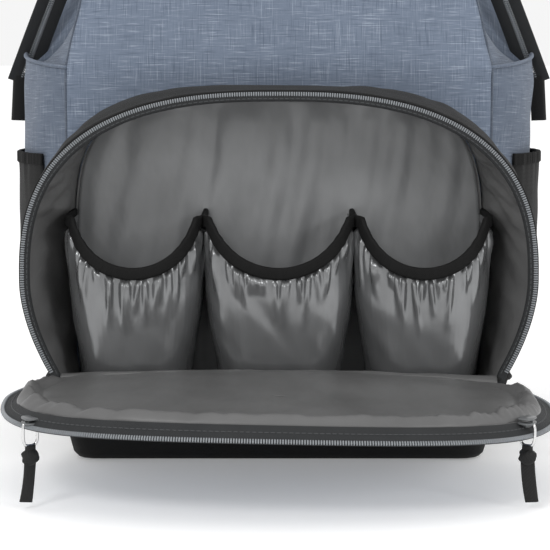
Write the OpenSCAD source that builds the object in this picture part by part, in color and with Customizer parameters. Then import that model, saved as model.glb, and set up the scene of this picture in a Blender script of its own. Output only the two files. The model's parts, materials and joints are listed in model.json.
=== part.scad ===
// Wide-mouth diaper backpack with a fold-down front compartment for three bottles.
// Millimetres. +X is to the right seen from the front, +Y is towards the shoulder straps, +Z is up.
// The origin is the middle of the flat underside.

/* [Body] */
// Half the width of the front and back panels
panel_half_w = 144; // [140:1:148]
// Half the width of the body at the middle of its bulging sides
bulge_half_w = 170; // [165:1:175]
// Depth of the bag from the compartment's zip to the back panel
bag_depth = 216; // [210:1:220]
// Height of the front panel, up to the hinge line of the front mouth panel
front_h = 250; // [246:1:256]
// Height of the back panel, up to the hinge line of the back mouth panel
back_h = 337; // [333:1:341]
// Height of the closed mouth's zip
mouth_h = 416; // [416:1:418]

/* [Base] */
// Height of the base tub
tub_h = 53.6; // [50:0.2:54]
// Half the width of the tub's underside
tub_foot_half_w = 132; // [131:1:134]
// Half the width of the tub at its top
tub_top_half_w = 150; // [149:1:151]

/* [Bottle compartment] */
// Depth of the bottle compartment from its zip to the front panel
compartment_depth = 80; // [78:1:82]
// Half the width of the compartment's zip outline
arch_half_w = 165; // [163:1:167]
// Height of the compartment's widest level
waist_h = 115; // [112:1:118]
// Height of the crown of the compartment's zip
crown_h = 236; // [232:1:240]
// Distance from the middle of the bag to the middle of each outer bottle pocket
pocket_pitch = 93; // [92.5:0.5:93]
// Width of each outer bottle pocket
outer_pocket_w = 86; // [84:0.5:86]
// Width of the middle bottle pocket
middle_pocket_w = 96; // [92:0.5:97]
// Height of the peaks between the pockets
pocket_peak_h = 156; // [154:1:158]
// Height of the bottom of each pocket's scooped edge
pocket_scoop_h = 124; // [122:1:126]

/* [Flap] */
// Height of the flap's hinge line
hinge_h = 56; // [56:0.5:57]
// Gap between the hinge line and the flap
hinge_gap = 6; // [6:0.5:7]
// Thickness of the padded flap
flap_t = 11; // [10:0.5:12]

/* [Mouth] */
// Diameter of the frame wires in the mouth
wire_d = 3.6; // [3:0.1:3.8]
// Width of the sleeves that hold the wires
sleeve_w = 4.6; // [4.4:0.1:4.8]
// Half the length of the closed zip across the top
mouth_half_w = 108; // [106:1:110]

/* [Straps] */
// Diameter of the rolled carry handles
handle_d = 13; // [12:0.5:13]
// Half the distance between a handle's two legs
handle_half_w = 50; // [46:1:52]
// Width of the shoulder strap pads
pad_w = 60; // [54:1:62]
// Width of the webbing
webbing_w = 25; // [20:1:28]

/* [Hidden] */

// Fabric thicknesses and clearances
shell_t = 1.8;
lining_t = 1.2;
panel_t = 3;
clear = 0.4;

// Planes along the depth
y_front = -bag_depth / 2;
y_back = bag_depth / 2;
y_panel = y_front + compartment_depth;
y_mid = (y_panel + y_back) / 2;
y_tape = y_front + 0.8;
y_gusset = y_front + 2.8;

// Closed top: the two mouth panels lean to the sides of the zip
mouth_gap = 13;
front_rise = mouth_h - 1 - front_h;
back_rise = mouth_h - 1 - back_h;
y_front_hinge = y_panel + panel_t / 2;
y_back_hinge = y_back - panel_t / 2;
front_run = y_mid - mouth_gap - y_front_hinge;
back_run = y_back_hinge - y_mid - mouth_gap;
front_lean = atan2(front_run, front_rise);
back_lean = atan2(back_run, back_rise);
mouth_panel_t = 6;

function mix(a, b, t) = a + (b - a) * t;
function unit(v) = v / norm(v);
function flat(rows) = [for (row = rows) each row];
function reversed(v) = [for (i = [len(v) - 1:-1:0]) v[i]];
// The other half of an outline, so that half and mirrored(half) make it whole
function mirrored(half) = [for (p = reversed(half)) [-p[0], p[1]]];

// Arc of radius r that rounds the corner q between p and s
function fillet(p, q, s, r, steps = 5) =
    let (u = unit(p - q), v = unit(s - q), half = acos(u * v) / 2)
    let (c = q + unit(u + v) * r / sin(half), a = q + u * r / tan(half) - c, b = q + v * r / tan(half) - c)
    [for (i = [0:steps]) c + r * unit(mix(a, b, i / steps))];

// Closed outline with every corner rounded to r
function rounded(pts, r) =
    let (n = len(pts))
    [for (i = [0:n - 1]) each fillet(pts[(i + n - 1) % n], pts[i], pts[(i + 1) % n], r)];

// Closed sheet between two grids of points, front and back, with the same rows and columns
module sheet(front, back) {
    rows = len(front);
    cols = len(front[0]);
    count = rows * cols;
    quads = [for (i = [0:rows - 2], j = [0:cols - 2])
        let (a = i * cols + j)
            [a, a + 1, a + cols + 1, a + cols]];
    rim = concat(
        [for (j = [0:cols - 1]) j],
        [for (i = [1:rows - 1]) i * cols + cols - 1],
        [for (j = [cols - 2:-1:0]) (rows - 1) * cols + j],
        [for (i = [rows - 2:-1:1]) i * cols]);
    turns = len(rim);
    faces = concat(
        [for (q = quads) each [[q[0], q[1], q[2]], [q[0], q[2], q[3]]]],
        [for (q = quads) let (b = [for (k = q) k + count])
            each [[b[2], b[1], b[0]], [b[3], b[2], b[0]]]],
        [for (k = [0:turns - 1]) let (a = rim[k], b = rim[(k + 1) % turns])
            each [[b, a, a + count], [b, a + count, b + count]]]);
    polyhedron(concat(flat(front), flat(back)), faces);
}

// Stands a drawing in X and Z up, from depth y0 to y1
module along_depth(y0, y1) {
    translate([0, y1, 0])
        rotate([90, 0, 0])
            linear_extrude(y1 - y0)
                children();
}

// Rod with round ends from p to q
module rod(p, q, d) {
    v = q - p;
    translate(p)
        rotate([0, acos(v[2] / norm(v)), atan2(v[1], v[0])])
            cylinder(h = norm(v), d = d, $fn = 32);
}

module both_sides() {
    children();
    mirror([1, 0, 0])
        children();
}

// Half outline of the tub, from its underside up to height top
module tub_section(inset, floor_h, top) {
    slope = (tub_top_half_w - tub_foot_half_w) / tub_h;
    foot = tub_foot_half_w + slope * floor_h - inset;
    head = tub_foot_half_w + slope * top - inset;
    left = fillet([-head, top], [-foot, floor_h], [foot, floor_h], 12 - inset);
    right = fillet([-foot, floor_h], [foot, floor_h], [head, top], 12 - inset);
    polygon(concat([[-head, top]], left, right, [[head, top]]));
}

// Arch of the bottle compartment at depth fraction f, 0 at its zip and 1 at the front panel
arch_steps = 36;
rear_half_w = panel_half_w - 2;
arch_floor_h = 16;
// Half widths of the arch where it meets the hinge line and the compartment floor
arch_foot = 146.5;
arch_rear_foot = 140;
arch_toe = 134.4;
function arch_half_w(f) = mix(arch_half_w, rear_half_w, f);
function arch_power(f) = mix(2.6, 4, f);
function arch_curve(f, inset, t) =
    let (c = cos(t), s = sin(t), e = 2 / arch_power(f))
    let (x = (arch_half_w(f) - inset) * sign(c) * pow(abs(c), e))
    [x, waist_h + (crown_h - waist_h - inset) * pow(abs(s), e)];
function arch_upper(f, inset) = [for (i = [0:arch_steps]) arch_curve(f, inset, 180 * i / arch_steps)];
// Point where a leg of the arch, from foot to waist, starts to curve
function arch_knee(foot, waist) = [mix(foot, waist, 0.8), mix(hinge_h, waist_h, 0.55)];
function arch_leg(f, inset) =
    let (foot = mix(arch_foot, arch_rear_foot, f) - inset)
    [[arch_toe - inset, arch_floor_h], [foot, hinge_h], arch_knee(foot, arch_half_w(f) - inset)];
function arch(f, inset) =
    let (leg = arch_leg(f, inset))
    concat(leg, arch_upper(f, inset), mirrored(leg));
function arch_at(y, f, inset) = [for (p = arch(f, inset)) [p[0], y, p[1]]];

module arch_shell(y0, y1, outer, inner) {
    fractions = [0, 0.33, 0.67, 1];
    sheet(
        [for (f = fractions) arch_at(mix(y0, y1, f), f, outer)],
        [for (f = fractions) arch_at(mix(y0, y1, f), f, inner)]);
}

// The part of the zip's arch that stands above the tub
function arch_over_tub(inset) =
    let (leg = [[arch_foot - inset, tub_h + clear], arch_leg(0, inset)[2]])
    concat(leg, arch_upper(0, inset), mirrored(leg));

module arch_ring(y0, y1, outer, inner) {
    along_depth(y0, y1)
        polygon(concat(arch_over_tub(outer), reversed(arch_over_tub(inner))));
}

tub_wall = 2.4;
module base_tub() {
    color("#26272a")
        difference() {
            along_depth(y_front, y_back)
                tub_section(0, 0, tub_h);
            along_depth(y_front + tub_wall, y_back - tub_wall)
                tub_section(tub_wall, tub_wall, tub_h + 5);
        }
}

board_half_w = 114;
board_t = 3;
module base_board() {
    color("#3a3a3c")
        translate([-board_half_w, y_front + 5, tub_wall])
            cube([2 * board_half_w, bag_depth - 10, board_t]);
}

floor_pad_half_w = 120;
floor_pad_t = 10;
module compartment_floor_pad() {
    color("#55585c")
        translate([-floor_pad_half_w, y_front + 4, tub_wall + board_t])
            cube([2 * floor_pad_half_w, compartment_depth - 10, floor_pad_t]);
}

// Half widths of the front panel inside the tub and at its rim, then between the side panels' edges
panel_low_half_w = 124;
panel_rim_half_w = 140;
panel_fit_w = panel_half_w - 2.2;
panel_foot_h = 6;
seam_gap = 0.5;
module front_panel() {
    half = [[panel_low_half_w, panel_foot_h], [panel_rim_half_w, tub_h], [panel_fit_w, front_h - seam_gap]];
    color("#7c8798")
        along_depth(y_panel, y_panel + panel_t)
            polygon(concat(half, mirrored(half)));
}

// Padding behind the compartment, and the lining over it
insulation_t = 3.4;
insulation_inset = 5;
module front_insulation() {
    color("#d8d8d6")
        along_depth(y_panel - insulation_t, y_panel)
            polygon(arch(1, insulation_inset));
}

module compartment_back_lining() {
    color("#6c6e70")
        along_depth(y_panel - insulation_t - lining_t, y_panel - insulation_t)
            polygon(arch(1, insulation_inset));
}

module compartment_gusset() {
    color("#2b2d31")
        arch_shell(y_gusset, y_panel, 0, shell_t);
}

module compartment_lining() {
    color("#77797c")
        arch_shell(y_gusset, y_panel, shell_t + clear, shell_t + clear + lining_t);
}

module compartment_zip_tape() {
    color("#77797c")
        arch_ring(y_tape, y_tape + 1, 0, 8);
}

module compartment_zip_teeth() {
    color("#9a9da0")
        arch_ring(y_front, y_tape, 3, 6);
}

// Front wall of the pockets, and how far the scooped edge's circle reaches
pocket_front = y_front + 4;
pocket_back = y_panel - insulation_t - lining_t;
pocket_wall = 1.6;
scoop_depth = pocket_peak_h - pocket_scoop_h;
function scoop_r(width) = (pow(width / 2 - 3, 2) + pow(scoop_depth, 2)) / (2 * scoop_depth);
binding_t = 2.6;
binding_h = 8;
pocket_floor_h = 15.6;
pocket_taper = 12;
pocket_step_h = 58;
pocket_corner_r = 26;
module pocket_plan(inset, width) {
    half = width / 2 - inset;
    corner = pocket_corner_r - inset;
    front = pocket_front + inset;
    arc_r = fillet([half, pocket_back], [half, front], [-half, front], corner);
    arc_l = fillet([half, front], [-half, front], [-half, pocket_back], corner);
    polygon(concat([[half, pocket_back - inset]], arc_r, arc_l, [[-half, pocket_back - inset]]));
}

// Round cut of a pocket's edge, larger than the finished edge by extra
module scoop_cut(width, extra) {
    translate([0, pocket_back + 1, pocket_scoop_h + scoop_r(width)])
        rotate([90, 0, 0])
            cylinder(h = compartment_depth, r = scoop_r(width) + extra, $fn = 96);
}

module pocket_block(z0, z1, inset, width) {
    translate([0, 0, z0])
        linear_extrude(z1 - z0)
            pocket_plan(inset, width);
}

module bottle_pocket(width) {
    foot_w = width - pocket_taper;
    color("#8d9093")
        difference() {
            union() {
                pocket_block(pocket_floor_h, pocket_step_h, 0, foot_w);
                pocket_block(pocket_step_h - pocket_wall, pocket_peak_h - binding_h, 0, width);
            }
            pocket_block(pocket_floor_h + pocket_wall, pocket_step_h, pocket_wall, foot_w);
            pocket_block(pocket_step_h, pocket_peak_h, pocket_wall, width);
            scoop_cut(width, binding_h);
        }
}

module pocket_binding(width) {
    color("#1d1e20")
        intersection() {
            translate([0, 0, pocket_scoop_h - binding_h])
                linear_extrude(scoop_depth + binding_h)
                    difference() {
                        pocket_plan(0, width);
                        pocket_plan(binding_t, width);
                    }
            difference() {
                scoop_cut(width, binding_h);
                scoop_cut(width, 0);
            }
        }
}

// Moves a pocket to one side of the bag
module outer_place(side) {
    translate([side * pocket_pitch, 0, 0])
        children();
}

// Plan outline of one bulging side, an arc from the front panel's edge to the back panel's
side_chord = (y_back - y_panel) / 2;
side_bulge = bulge_half_w - panel_half_w;
side_r = (pow(side_chord, 2) + pow(side_bulge, 2)) / (2 * side_bulge);
side_angle = asin(side_chord / side_r);
function side_arc(inset) =
    [for (i = [-8:8]) let (a = side_angle * i / 8, r = side_r - inset)
        [bulge_half_w - side_r + r * cos(a), y_mid + r * sin(a)]];

side_low_h = front_h - 1;
side_high_h = back_h - 5;
module side_wall(outer, inner, z0, z1) {
    translate([0, 0, z0])
        linear_extrude(z1 - z0)
            polygon(concat(side_arc(outer), reversed(side_arc(inner))));
}

module side_panels() {
    top = [[y_back, side_high_h], [y_mid, side_low_h], [y_panel, side_low_h]];
    color("#727d8e")
        both_sides()
            intersection() {
                side_wall(0, shell_t, tub_h, side_high_h);
                rotate([90, 0, 90])
                    linear_extrude(2 * bulge_half_w)
                        polygon(concat([[y_panel, 0], [y_back, 0]], top));
            }
}

module back_panel() {
    color("#26272a")
        translate([-panel_fit_w, y_back - panel_t, tub_h + 0.2])
            cube([2 * panel_fit_w, panel_t, back_h - seam_gap - tub_h - 0.2]);
}

module main_lining() {
    gap = shell_t + 1;
    color("#8b8f94")
        both_sides()
            intersection() {
                side_wall(gap, gap + lining_t, tub_h + 1, front_h - 3);
                translate([0, y_panel + panel_t + 0.3, 0])
                    cube([bulge_half_w, y_back - y_panel - 2 * panel_t - 0.6, front_h]);
            }
}

// Side pockets stand off the bulging sides
pocket_low_h = tub_h + 4;
side_pocket_h = 183;
side_pocket_stand = 11;
side_pocket_half_l = 52;
side_binding_t = 2.4;
side_binding_h = 8;
// The space inside a side pocket, up to height top
module side_pocket_space(top) {
    side_wall(shell_t - side_pocket_stand, -clear - shell_t, pocket_low_h + shell_t, top);
}

// Slice of the bag's side, from y for a length l
module side_slice(y, l) {
    translate([0, y, 0])
        cube([2 * bulge_half_w, l, front_h]);
}

module side_pocket() {
    color("#1d1e20") {
        intersection() {
            difference() {
                side_wall(-side_pocket_stand, -clear, pocket_low_h, side_pocket_h);
                side_pocket_space(side_pocket_h + 1);
            }
            side_slice(y_mid - side_pocket_half_l, 2 * side_pocket_half_l);
        }
        for (y = [y_mid - side_pocket_half_l, y_mid + side_pocket_half_l - shell_t])
            intersection() {
                side_pocket_space(side_pocket_h);
                side_slice(y, shell_t);
            }
    }
}

module side_pocket_bindings() {
    foot_h = side_pocket_h + 0.1;
    top_h = side_pocket_h + side_binding_h;
    color("#1d1e20")
        both_sides()
            intersection() {
                side_wall(-side_pocket_stand, side_binding_t - side_pocket_stand, foot_h, top_h);
                side_slice(y_mid - side_pocket_half_l, 2 * side_pocket_half_l);
            }
}

// One fold-in gusset half, from a mouth panel's side edge to the middle of the bag's side
gusset_t = 1.2;
gusset_low_h = front_h + 4;
gusset_high_h = mouth_h - 14;
gusset_crease_top = 62;
module gusset_half(front_low, front_high, rear_low, rear_high) {
    steps = [0, 0.25, 0.5, 0.75, 1];
    face = [for (s = steps)
        [for (t = steps) mix(mix(front_low, front_high, t), mix(rear_low, rear_high, t), s)]];
    sheet(face, [for (row = face) [for (p = row) p + [gusset_t, 0, 0]]]);
}

module mouth_gusset() {
    low_x = panel_half_w - 8;
    high_x = mouth_half_w - 8;
    crease_low_x = bulge_half_w - 22;
    color("#727d8e") {
        gusset_half(
            [low_x, y_front_hinge + 14, gusset_low_h], [high_x, y_mid - 10, gusset_high_h],
            [crease_low_x, y_mid - 1, gusset_low_h], [gusset_crease_top, y_mid - 1, gusset_high_h]);
        gusset_half(
            [crease_low_x, y_mid + 1, gusset_low_h], [gusset_crease_top, y_mid + 1, gusset_high_h],
            [low_x, y_back_hinge - 12, back_h + 2], [high_x, y_mid + 14, gusset_high_h]);
    }
}

// Zip tape that runs on from each end of the closed mouth, down outside the gusset
tail_top = [mouth_half_w + 4, mouth_h];
tail_foot = [bulge_half_w + 10, front_h - 10];
tab_foot = [bulge_half_w + 13, front_h - 38];
tape_t = 1.2;
tape_w = 10;
module hanging_strip(y0, y1, top, foot, t) {
    side = unit([top[1] - foot[1], foot[0] - top[0]]) * t;
    along_depth(y0, y1)
        polygon([top, foot, foot + side, top + side]);
}

module zip_tail() {
    color("#77797c") {
        hanging_strip(y_mid - 1 - tape_w, y_mid - clear, tail_top, tail_foot, tape_t);
        hanging_strip(y_mid + clear, y_mid + 1 + tape_w, tail_top, tail_foot, tape_t);
    }
}

module zip_end_tabs() {
    gap = unit(tab_foot - tail_foot) * clear;
    color("#1d1e20")
        both_sides()
            hanging_strip(y_mid - 13, y_mid + 13, tail_foot + gap, tab_foot, 2);
}

// Places the children, drawn upwards from the hinge line, as the closed front or back mouth panel
module front_leaning() {
    translate([0, y_front_hinge, front_h])
        rotate([-front_lean, 0, 0])
            children();
}

module back_leaning() {
    translate([0, y_back_hinge, back_h])
        rotate([back_lean, 0, 0])
            children();
}

// Frame wire: two legs and a top bar with rounded corners, drawn in X and Z
wire_inset = 7;
wire_start = 4;
corner_r = 14;
function wire_half(low, high, rise, start, off) =
    let (foot = [mix(low, high, start / (rise - wire_inset)) - wire_inset + off, start])
    let (corner = [high, rise] - [1, 1] * (wire_inset - off))
    concat([foot], fillet(foot, corner, [0, corner[1]], corner_r + off, 7));
function wire_path(low, high, rise, start, off = 0) =
    let (half = wire_half(low, high, rise, start, off))
    concat(half, mirrored(half));

// Round tube along a path in X and Z
tube_sides = 10;
module tube(path, d) {
    last = len(path) - 1;
    rings = [for (i = [0:last])
        let (v = unit(path[min(i + 1, last)] - path[max(i - 1, 0)]))
            [for (k = [0:tube_sides - 1]) let (a = 360 * k / tube_sides)
                [path[i][0] + d / 2 * cos(a) * v[1], d / 2 * sin(a), path[i][1] - d / 2 * cos(a) * v[0]]]];
    walls = [for (i = [0:last - 1], k = [0:tube_sides - 1])
        let (a = i * tube_sides + k, b = i * tube_sides + (k + 1) % tube_sides)
            each [[a, b, b + tube_sides], [a, b + tube_sides, a + tube_sides]]];
    caps = [[for (k = [tube_sides - 1:-1:0]) k], [for (k = [0:tube_sides - 1]) last * tube_sides + k]];
    polyhedron(flat(rings), concat(walls, caps));
}

module mouth_panel(low, high, base, rise) {
    color("#7c8798")
        difference() {
            along_depth(-mouth_panel_t / 2, mouth_panel_t / 2)
                polygon([[-low, base], [low, base], [high, rise], [-high, rise]]);
            along_depth(-sleeve_w / 2, sleeve_w / 2)
                polygon(concat(
                    wire_path(low, high, rise, base - 1, sleeve_w / 2),
                    reversed(wire_path(low, high, rise, base - 1, -sleeve_w / 2))));
        }
}

front_length = norm([front_run, front_rise]) - 1.5;
back_length = norm([back_run, back_rise]) - 2.5;
handle_stand = 10;
front_handle_at = front_length - 14;
back_handle_at = back_length - 12;

module mouth_front_panel() {
    front_leaning()
        mouth_panel(panel_half_w, mouth_half_w, 2, front_length);
}

module mouth_back_panel() {
    back_leaning()
        mouth_panel(panel_half_w - 4, mouth_half_w, 3, back_length);
}

module front_frame_wire() {
    color("#b4b6b8")
        front_leaning()
            tube(wire_path(panel_half_w, mouth_half_w, front_length, wire_start), wire_d);
}

module back_frame_wire() {
    color("#b4b6b8")
        back_leaning()
            tube(wire_path(panel_half_w - 4, mouth_half_w, back_length, wire_start), wire_d);
}

module zip_strip(y0, y1, z, t) {
    translate([-mouth_half_w, y0, z])
        cube([2 * mouth_half_w, y1 - y0, t]);
}

module mouth_front_zip_tape() {
    color("#77797c")
        zip_strip(y_mid - mouth_gap + 1, y_mid - 2, mouth_h, tape_t);
}

module mouth_back_zip_tape() {
    color("#77797c")
        zip_strip(y_mid + 2, y_mid + mouth_gap - 1, mouth_h, tape_t);
}

module mouth_front_zip_teeth() {
    color("#9a9da0")
        zip_strip(y_mid - 2, y_mid - 0.25, mouth_h - 0.4, 2);
}

module mouth_back_zip_teeth() {
    color("#9a9da0")
        zip_strip(y_mid + 0.25, y_mid + 2, mouth_h - 0.4, 2);
}

// The main slider is parked at the left end of the closed zip
slider_l = 13;
slider_w = 9;
slider_h = 4.6;
main_slider_x = -mouth_half_w + 18;
main_slider_z = mouth_h + 2;
// The hole for the pull's pin lies across the slider, just under its top
eye_r = 1.3;
eye_drop = 1.9;
module slider_body() {
    half = slider_l / 2;
    nose = slider_w / 3;
    tail = slider_w / 2;
    color("#c3c5c7")
        difference() {
            linear_extrude(slider_h)
                polygon(rounded([[-half, -nose], [half, -tail], [half, tail], [-half, nose]], 2));
            translate([0, slider_w, slider_h - eye_drop])
                rotate([90, 0, 0])
                    cylinder(h = 2 * slider_w, r = eye_r, $fn = 32);
        }
}

module main_slider() {
    translate([main_slider_x, y_mid, main_slider_z])
        slider_body();
}

// Pull of the main slider: a pin, two arms and a flat grip that lies along the zip
pull_pin_r = 0.9;
pull_half_w = slider_w / 2 + 3;
pull_arm_w = 2;
pull_arm_l = 26;
pull_grip_l = 34;
module main_pull() {
    color("#1d1e20")
        translate([main_slider_x, y_mid, main_slider_z + slider_h - eye_drop]) {
            rotate([90, 0, 0])
                translate([0, 0, -pull_half_w])
                    cylinder(h = 2 * pull_half_w, r = pull_pin_r, $fn = 32);
            for (y = [-pull_half_w, pull_half_w - pull_arm_w])
                translate([0, y, -pull_pin_r])
                    cube([pull_arm_l, pull_arm_w, 2 * pull_pin_r]);
            translate([pull_arm_l, -pull_half_w, -pull_pin_r])
                cube([pull_grip_l, 2 * pull_half_w, 2 * pull_pin_r]);
        }
}

// Flap outline at rest: the arch above the hinge line, laid down forwards
flap_foot = 148;
function flap_point(p) = [p[0], y_front - (p[1] - hinge_h)];
function flap_outline(inset) =
    let (foot = flap_foot - inset)
    let (leg = [[foot, y_front - hinge_gap], flap_point(arch_knee(foot, arch_half_w(0) - inset))])
    concat(leg, [for (p = arch_upper(0, inset)) flap_point(p)], mirrored(leg));

flap_rim = 12;
flap_top = hinge_h - 1;
flap_lining_t = 1.2;
flap_shell_t = 2;
module flap_layer(z0, z1, inset) {
    translate([0, 0, z0])
        linear_extrude(z1 - z0)
            polygon(flap_outline(inset));
}

module flap_ring(z0, z1, outer, inner) {
    translate([0, 0, z0])
        linear_extrude(z1 - z0)
            polygon(concat(flap_outline(outer), reversed(flap_outline(inner))));
}

module flap_shell() {
    color("#7c8798")
        flap_layer(flap_top - flap_t, flap_top - flap_t + flap_shell_t, flap_rim);
}

module flap_foam() {
    color("#d8d8d6")
        flap_layer(flap_top - flap_t + flap_shell_t, flap_top - flap_lining_t, flap_rim + 1);
}

module flap_lining() {
    color("#6c6e70")
        flap_layer(flap_top - flap_lining_t, flap_top, flap_rim);
}

module flap_zip_tape() {
    color("#77797c")
        flap_ring(flap_top - 1, flap_top, 1, flap_rim - clear);
}

module flap_zip_teeth() {
    color("#9a9da0")
        flap_ring(flap_top, hinge_h - 0.3, 3, 6);
}

hinge_strip_half_w = 138;
hinge_strip_r = 2.2;
module flap_hinge_strip() {
    color("#6c6e70")
        translate([-hinge_strip_half_w, y_front, hinge_h])
            rotate([0, 90, 0])
                cylinder(h = 2 * hinge_strip_half_w, r = hinge_strip_r, $fn = 32);
}

// The flap's two sliders follow the round shoulders of its outline
shoulder_x = 68;
shoulder_out = 75.5;
shoulder_r = 91.6;
slider_angle = 36;
flap_slider_z = flap_top - 1.5 - slider_h;
slider_centre = [shoulder_x, y_front - shoulder_out]
    + shoulder_r * [cos(slider_angle), -sin(slider_angle)];
module flap_slider() {
    translate([slider_centre[0], slider_centre[1], flap_slider_z + slider_h])
        rotate([180, 0, 90 - slider_angle])
            slider_body();
}

// Pull of a flap slider: a bail through the slider, then a strap that hangs from the bail
bail_z = flap_slider_z + eye_drop;
bail_w = 12;
bail_drop = 14;
bail_d = 1.8;
pull_strap_w = 9;
pull_strap_t = 3;
pull_foot_h = 4;
module pull_bail() {
    half = bail_w / 2;
    points = [[0, 0, 0], [half, 0, 0], [half, 0, -bail_drop], [0, 0, -bail_drop]];
    color("#c3c5c7")
        translate([slider_centre[0], slider_centre[1], bail_z])
            rotate([0, 0, -slider_angle])
                both_sides()
                    for (i = [0:2]) {
                        rod(points[i], points[i + 1], bail_d);
                        translate(points[i])
                            sphere(d = bail_d, $fn = 24);
                    }
}

module pull_strap() {
    top = bail_z - bail_drop - bail_d / 2;
    color("#1d1e20")
        translate([slider_centre[0], slider_centre[1], 0])
            rotate([0, 0, -slider_angle])
                translate([-pull_strap_w / 2, -pull_strap_t / 2, pull_foot_h])
                    cube([pull_strap_w, pull_strap_t, top - pull_foot_h]);
}

// Rolled carry handle: two legs and a half ring, standing up from its pivot line
handle_leg = 37;
module carry_handle() {
    color("#26272a") {
        for (x = [-handle_half_w, handle_half_w])
            translate([x, 0, 0]) {
                sphere(d = handle_d, $fn = 32);
                cylinder(h = handle_leg, d = handle_d, $fn = 32);
            }
        translate([0, 0, handle_leg])
            rotate([90, 0, 0])
                rotate_extrude(angle = 180, $fn = 64)
                    translate([handle_half_w, 0])
                        circle(d = handle_d, $fn = 32);
    }
}

module carry_handle_front() {
    at = [-handle_stand * cos(front_lean) + front_handle_at * sin(front_lean),
        handle_stand * sin(front_lean) + front_handle_at * cos(front_lean)];
    translate([0, y_front_hinge + at[0], front_h + at[1]])
        carry_handle();
}

module carry_handle_back() {
    at = [handle_stand * cos(back_lean) - back_handle_at * sin(back_lean),
        handle_stand * sin(back_lean) + back_handle_at * cos(back_lean)];
    translate([0, y_back_hinge + at[0], back_h + at[1]])
        carry_handle();
}

// Shoulder strap, drawn along the line between its two anchors, bowing out behind
strap_top = [45, 322];
strap_foot = [126, 40];
strap_axis_y = y_back + 7;
strap_l = norm(strap_top - strap_foot);
strap_tilt = atan2(strap_foot[0] - strap_top[0], strap_top[1] - strap_foot[1]);
strap_bow = 38;
pad_t = 10;
pad_start = 14;
pad_end = 186;
webbing_t = 2.4;
// Line of the strap from length a to length b along it, standing off by off
strap_steps = 14;
function strap_line(a, b, off) =
    [for (i = [0:strap_steps]) let (s = mix(a, b, i / strap_steps))
        [strap_bow * sin(180 * s / strap_l) + off, -s]];
module strap_profile(a, b, t, w) {
    rotate([90, 0, 90])
        translate([0, 0, -w / 2])
            linear_extrude(w)
                polygon(concat(strap_line(a, b, -t / 2), reversed(strap_line(a, b, t / 2))));
}

module strap_placed() {
    translate([strap_top[0], strap_axis_y, strap_top[1]])
        rotate([0, -strap_tilt, 0])
            children();
}

// The pad narrows to its two ends
pad_top_half_w = 14;
pad_foot_half_w = 16;
pad_full_from = 70;
pad_full_to = 150;
module shoulder_pad() {
    full = pad_w / 2;
    half = [
        [pad_top_half_w, 1 - pad_start], [full, -pad_full_from],
        [full, -pad_full_to], [pad_foot_half_w, -pad_end - 1]];
    color("#26272a")
        strap_placed()
            intersection() {
                strap_profile(pad_start, pad_end, pad_t, pad_w);
                along_depth(-20, 80)
                    polygon(concat(half, mirrored(half)));
            }
}

lock_l = 26;
lock_w = webbing_w + 9;
lock_t = 7;
module strap_webbing() {
    color("#1d1e20")
        strap_placed() {
            strap_profile(0, pad_start - 0.3, webbing_t, webbing_w);
            strap_profile(pad_end + 0.3, strap_l, webbing_t, webbing_w);
        }
}

module ladder_lock() {
    start = pad_end + 6;
    color("#18191a")
        strap_placed()
            difference() {
                strap_profile(start, start + lock_l, lock_t, lock_w);
                strap_profile(start - 1, start + lock_l + 1, webbing_t + 0.8, webbing_w + 1);
            }
}

anchor_t = 2.4;
upper_anchor = [44, anchor_t, 14];
lower_anchor = [32, anchor_t, 16];
module strap_anchors() {
    color("#1d1e20")
        both_sides() {
            translate([strap_top[0] - 22, y_back + 0.2, strap_top[1] - 6])
                cube(upper_anchor);
            translate([strap_foot[0] - 18, y_back + 0.2, strap_foot[1] - 8])
                cube(lower_anchor);
        }
}

loop_half_w = 16;
loop_depth = 11;
loop_h = 22;
module hang_loop() {
    hole_half_w = loop_half_w - webbing_t;
    color("#1d1e20")
        translate([0, y_back + 0.2, back_h - 30])
            difference() {
                translate([-loop_half_w, 0, 0])
                    cube([2 * loop_half_w, loop_depth, loop_h]);
                translate([-hole_half_w, webbing_t, -1])
                    cube([2 * hole_half_w, loop_depth - 2 * webbing_t, loop_h + 2]);
            }
}

// One line for each node
base_tub();
base_board();
compartment_floor_pad();
front_panel();
front_insulation();
compartment_back_lining();
compartment_gusset();
compartment_lining();
compartment_zip_tape();
compartment_zip_teeth();
outer_place(-1) bottle_pocket(outer_pocket_w);  // bottle_pocket_left
bottle_pocket(middle_pocket_w);  // bottle_pocket_middle
outer_place(1) bottle_pocket(outer_pocket_w);  // bottle_pocket_right
outer_place(-1) pocket_binding(outer_pocket_w);  // pocket_binding_left
pocket_binding(middle_pocket_w);  // pocket_binding_middle
outer_place(1) pocket_binding(outer_pocket_w);  // pocket_binding_right
side_panels();
back_panel();
main_lining();
mirror([1, 0, 0]) side_pocket();  // side_pocket_left
side_pocket();  // side_pocket_right
side_pocket_bindings();
mirror([1, 0, 0]) mouth_gusset();  // mouth_gusset_left
mouth_gusset();  // mouth_gusset_right
mirror([1, 0, 0]) zip_tail();  // zip_tail_left
zip_tail();  // zip_tail_right
zip_end_tabs();
strap_anchors();
hang_loop();
flap_hinge_strip();
mouth_front_panel();
front_frame_wire();
mouth_front_zip_tape();
mouth_front_zip_teeth();
mouth_back_panel();
back_frame_wire();
mouth_back_zip_tape();
mouth_back_zip_teeth();
main_slider();
main_pull();
flap_shell();
flap_foam();
flap_lining();
flap_zip_tape();
flap_zip_teeth();
mirror([1, 0, 0]) flap_slider();  // flap_slider_left
flap_slider();  // flap_slider_right
mirror([1, 0, 0]) pull_bail();  // pull_bail_left
pull_bail();  // pull_bail_right
mirror([1, 0, 0]) pull_strap();  // pull_strap_left
pull_strap();  // pull_strap_right
carry_handle_front();
carry_handle_back();
mirror([1, 0, 0]) shoulder_pad();  // shoulder_pad_left
shoulder_pad();  // shoulder_pad_right
mirror([1, 0, 0]) strap_webbing();  // strap_webbing_left
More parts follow.
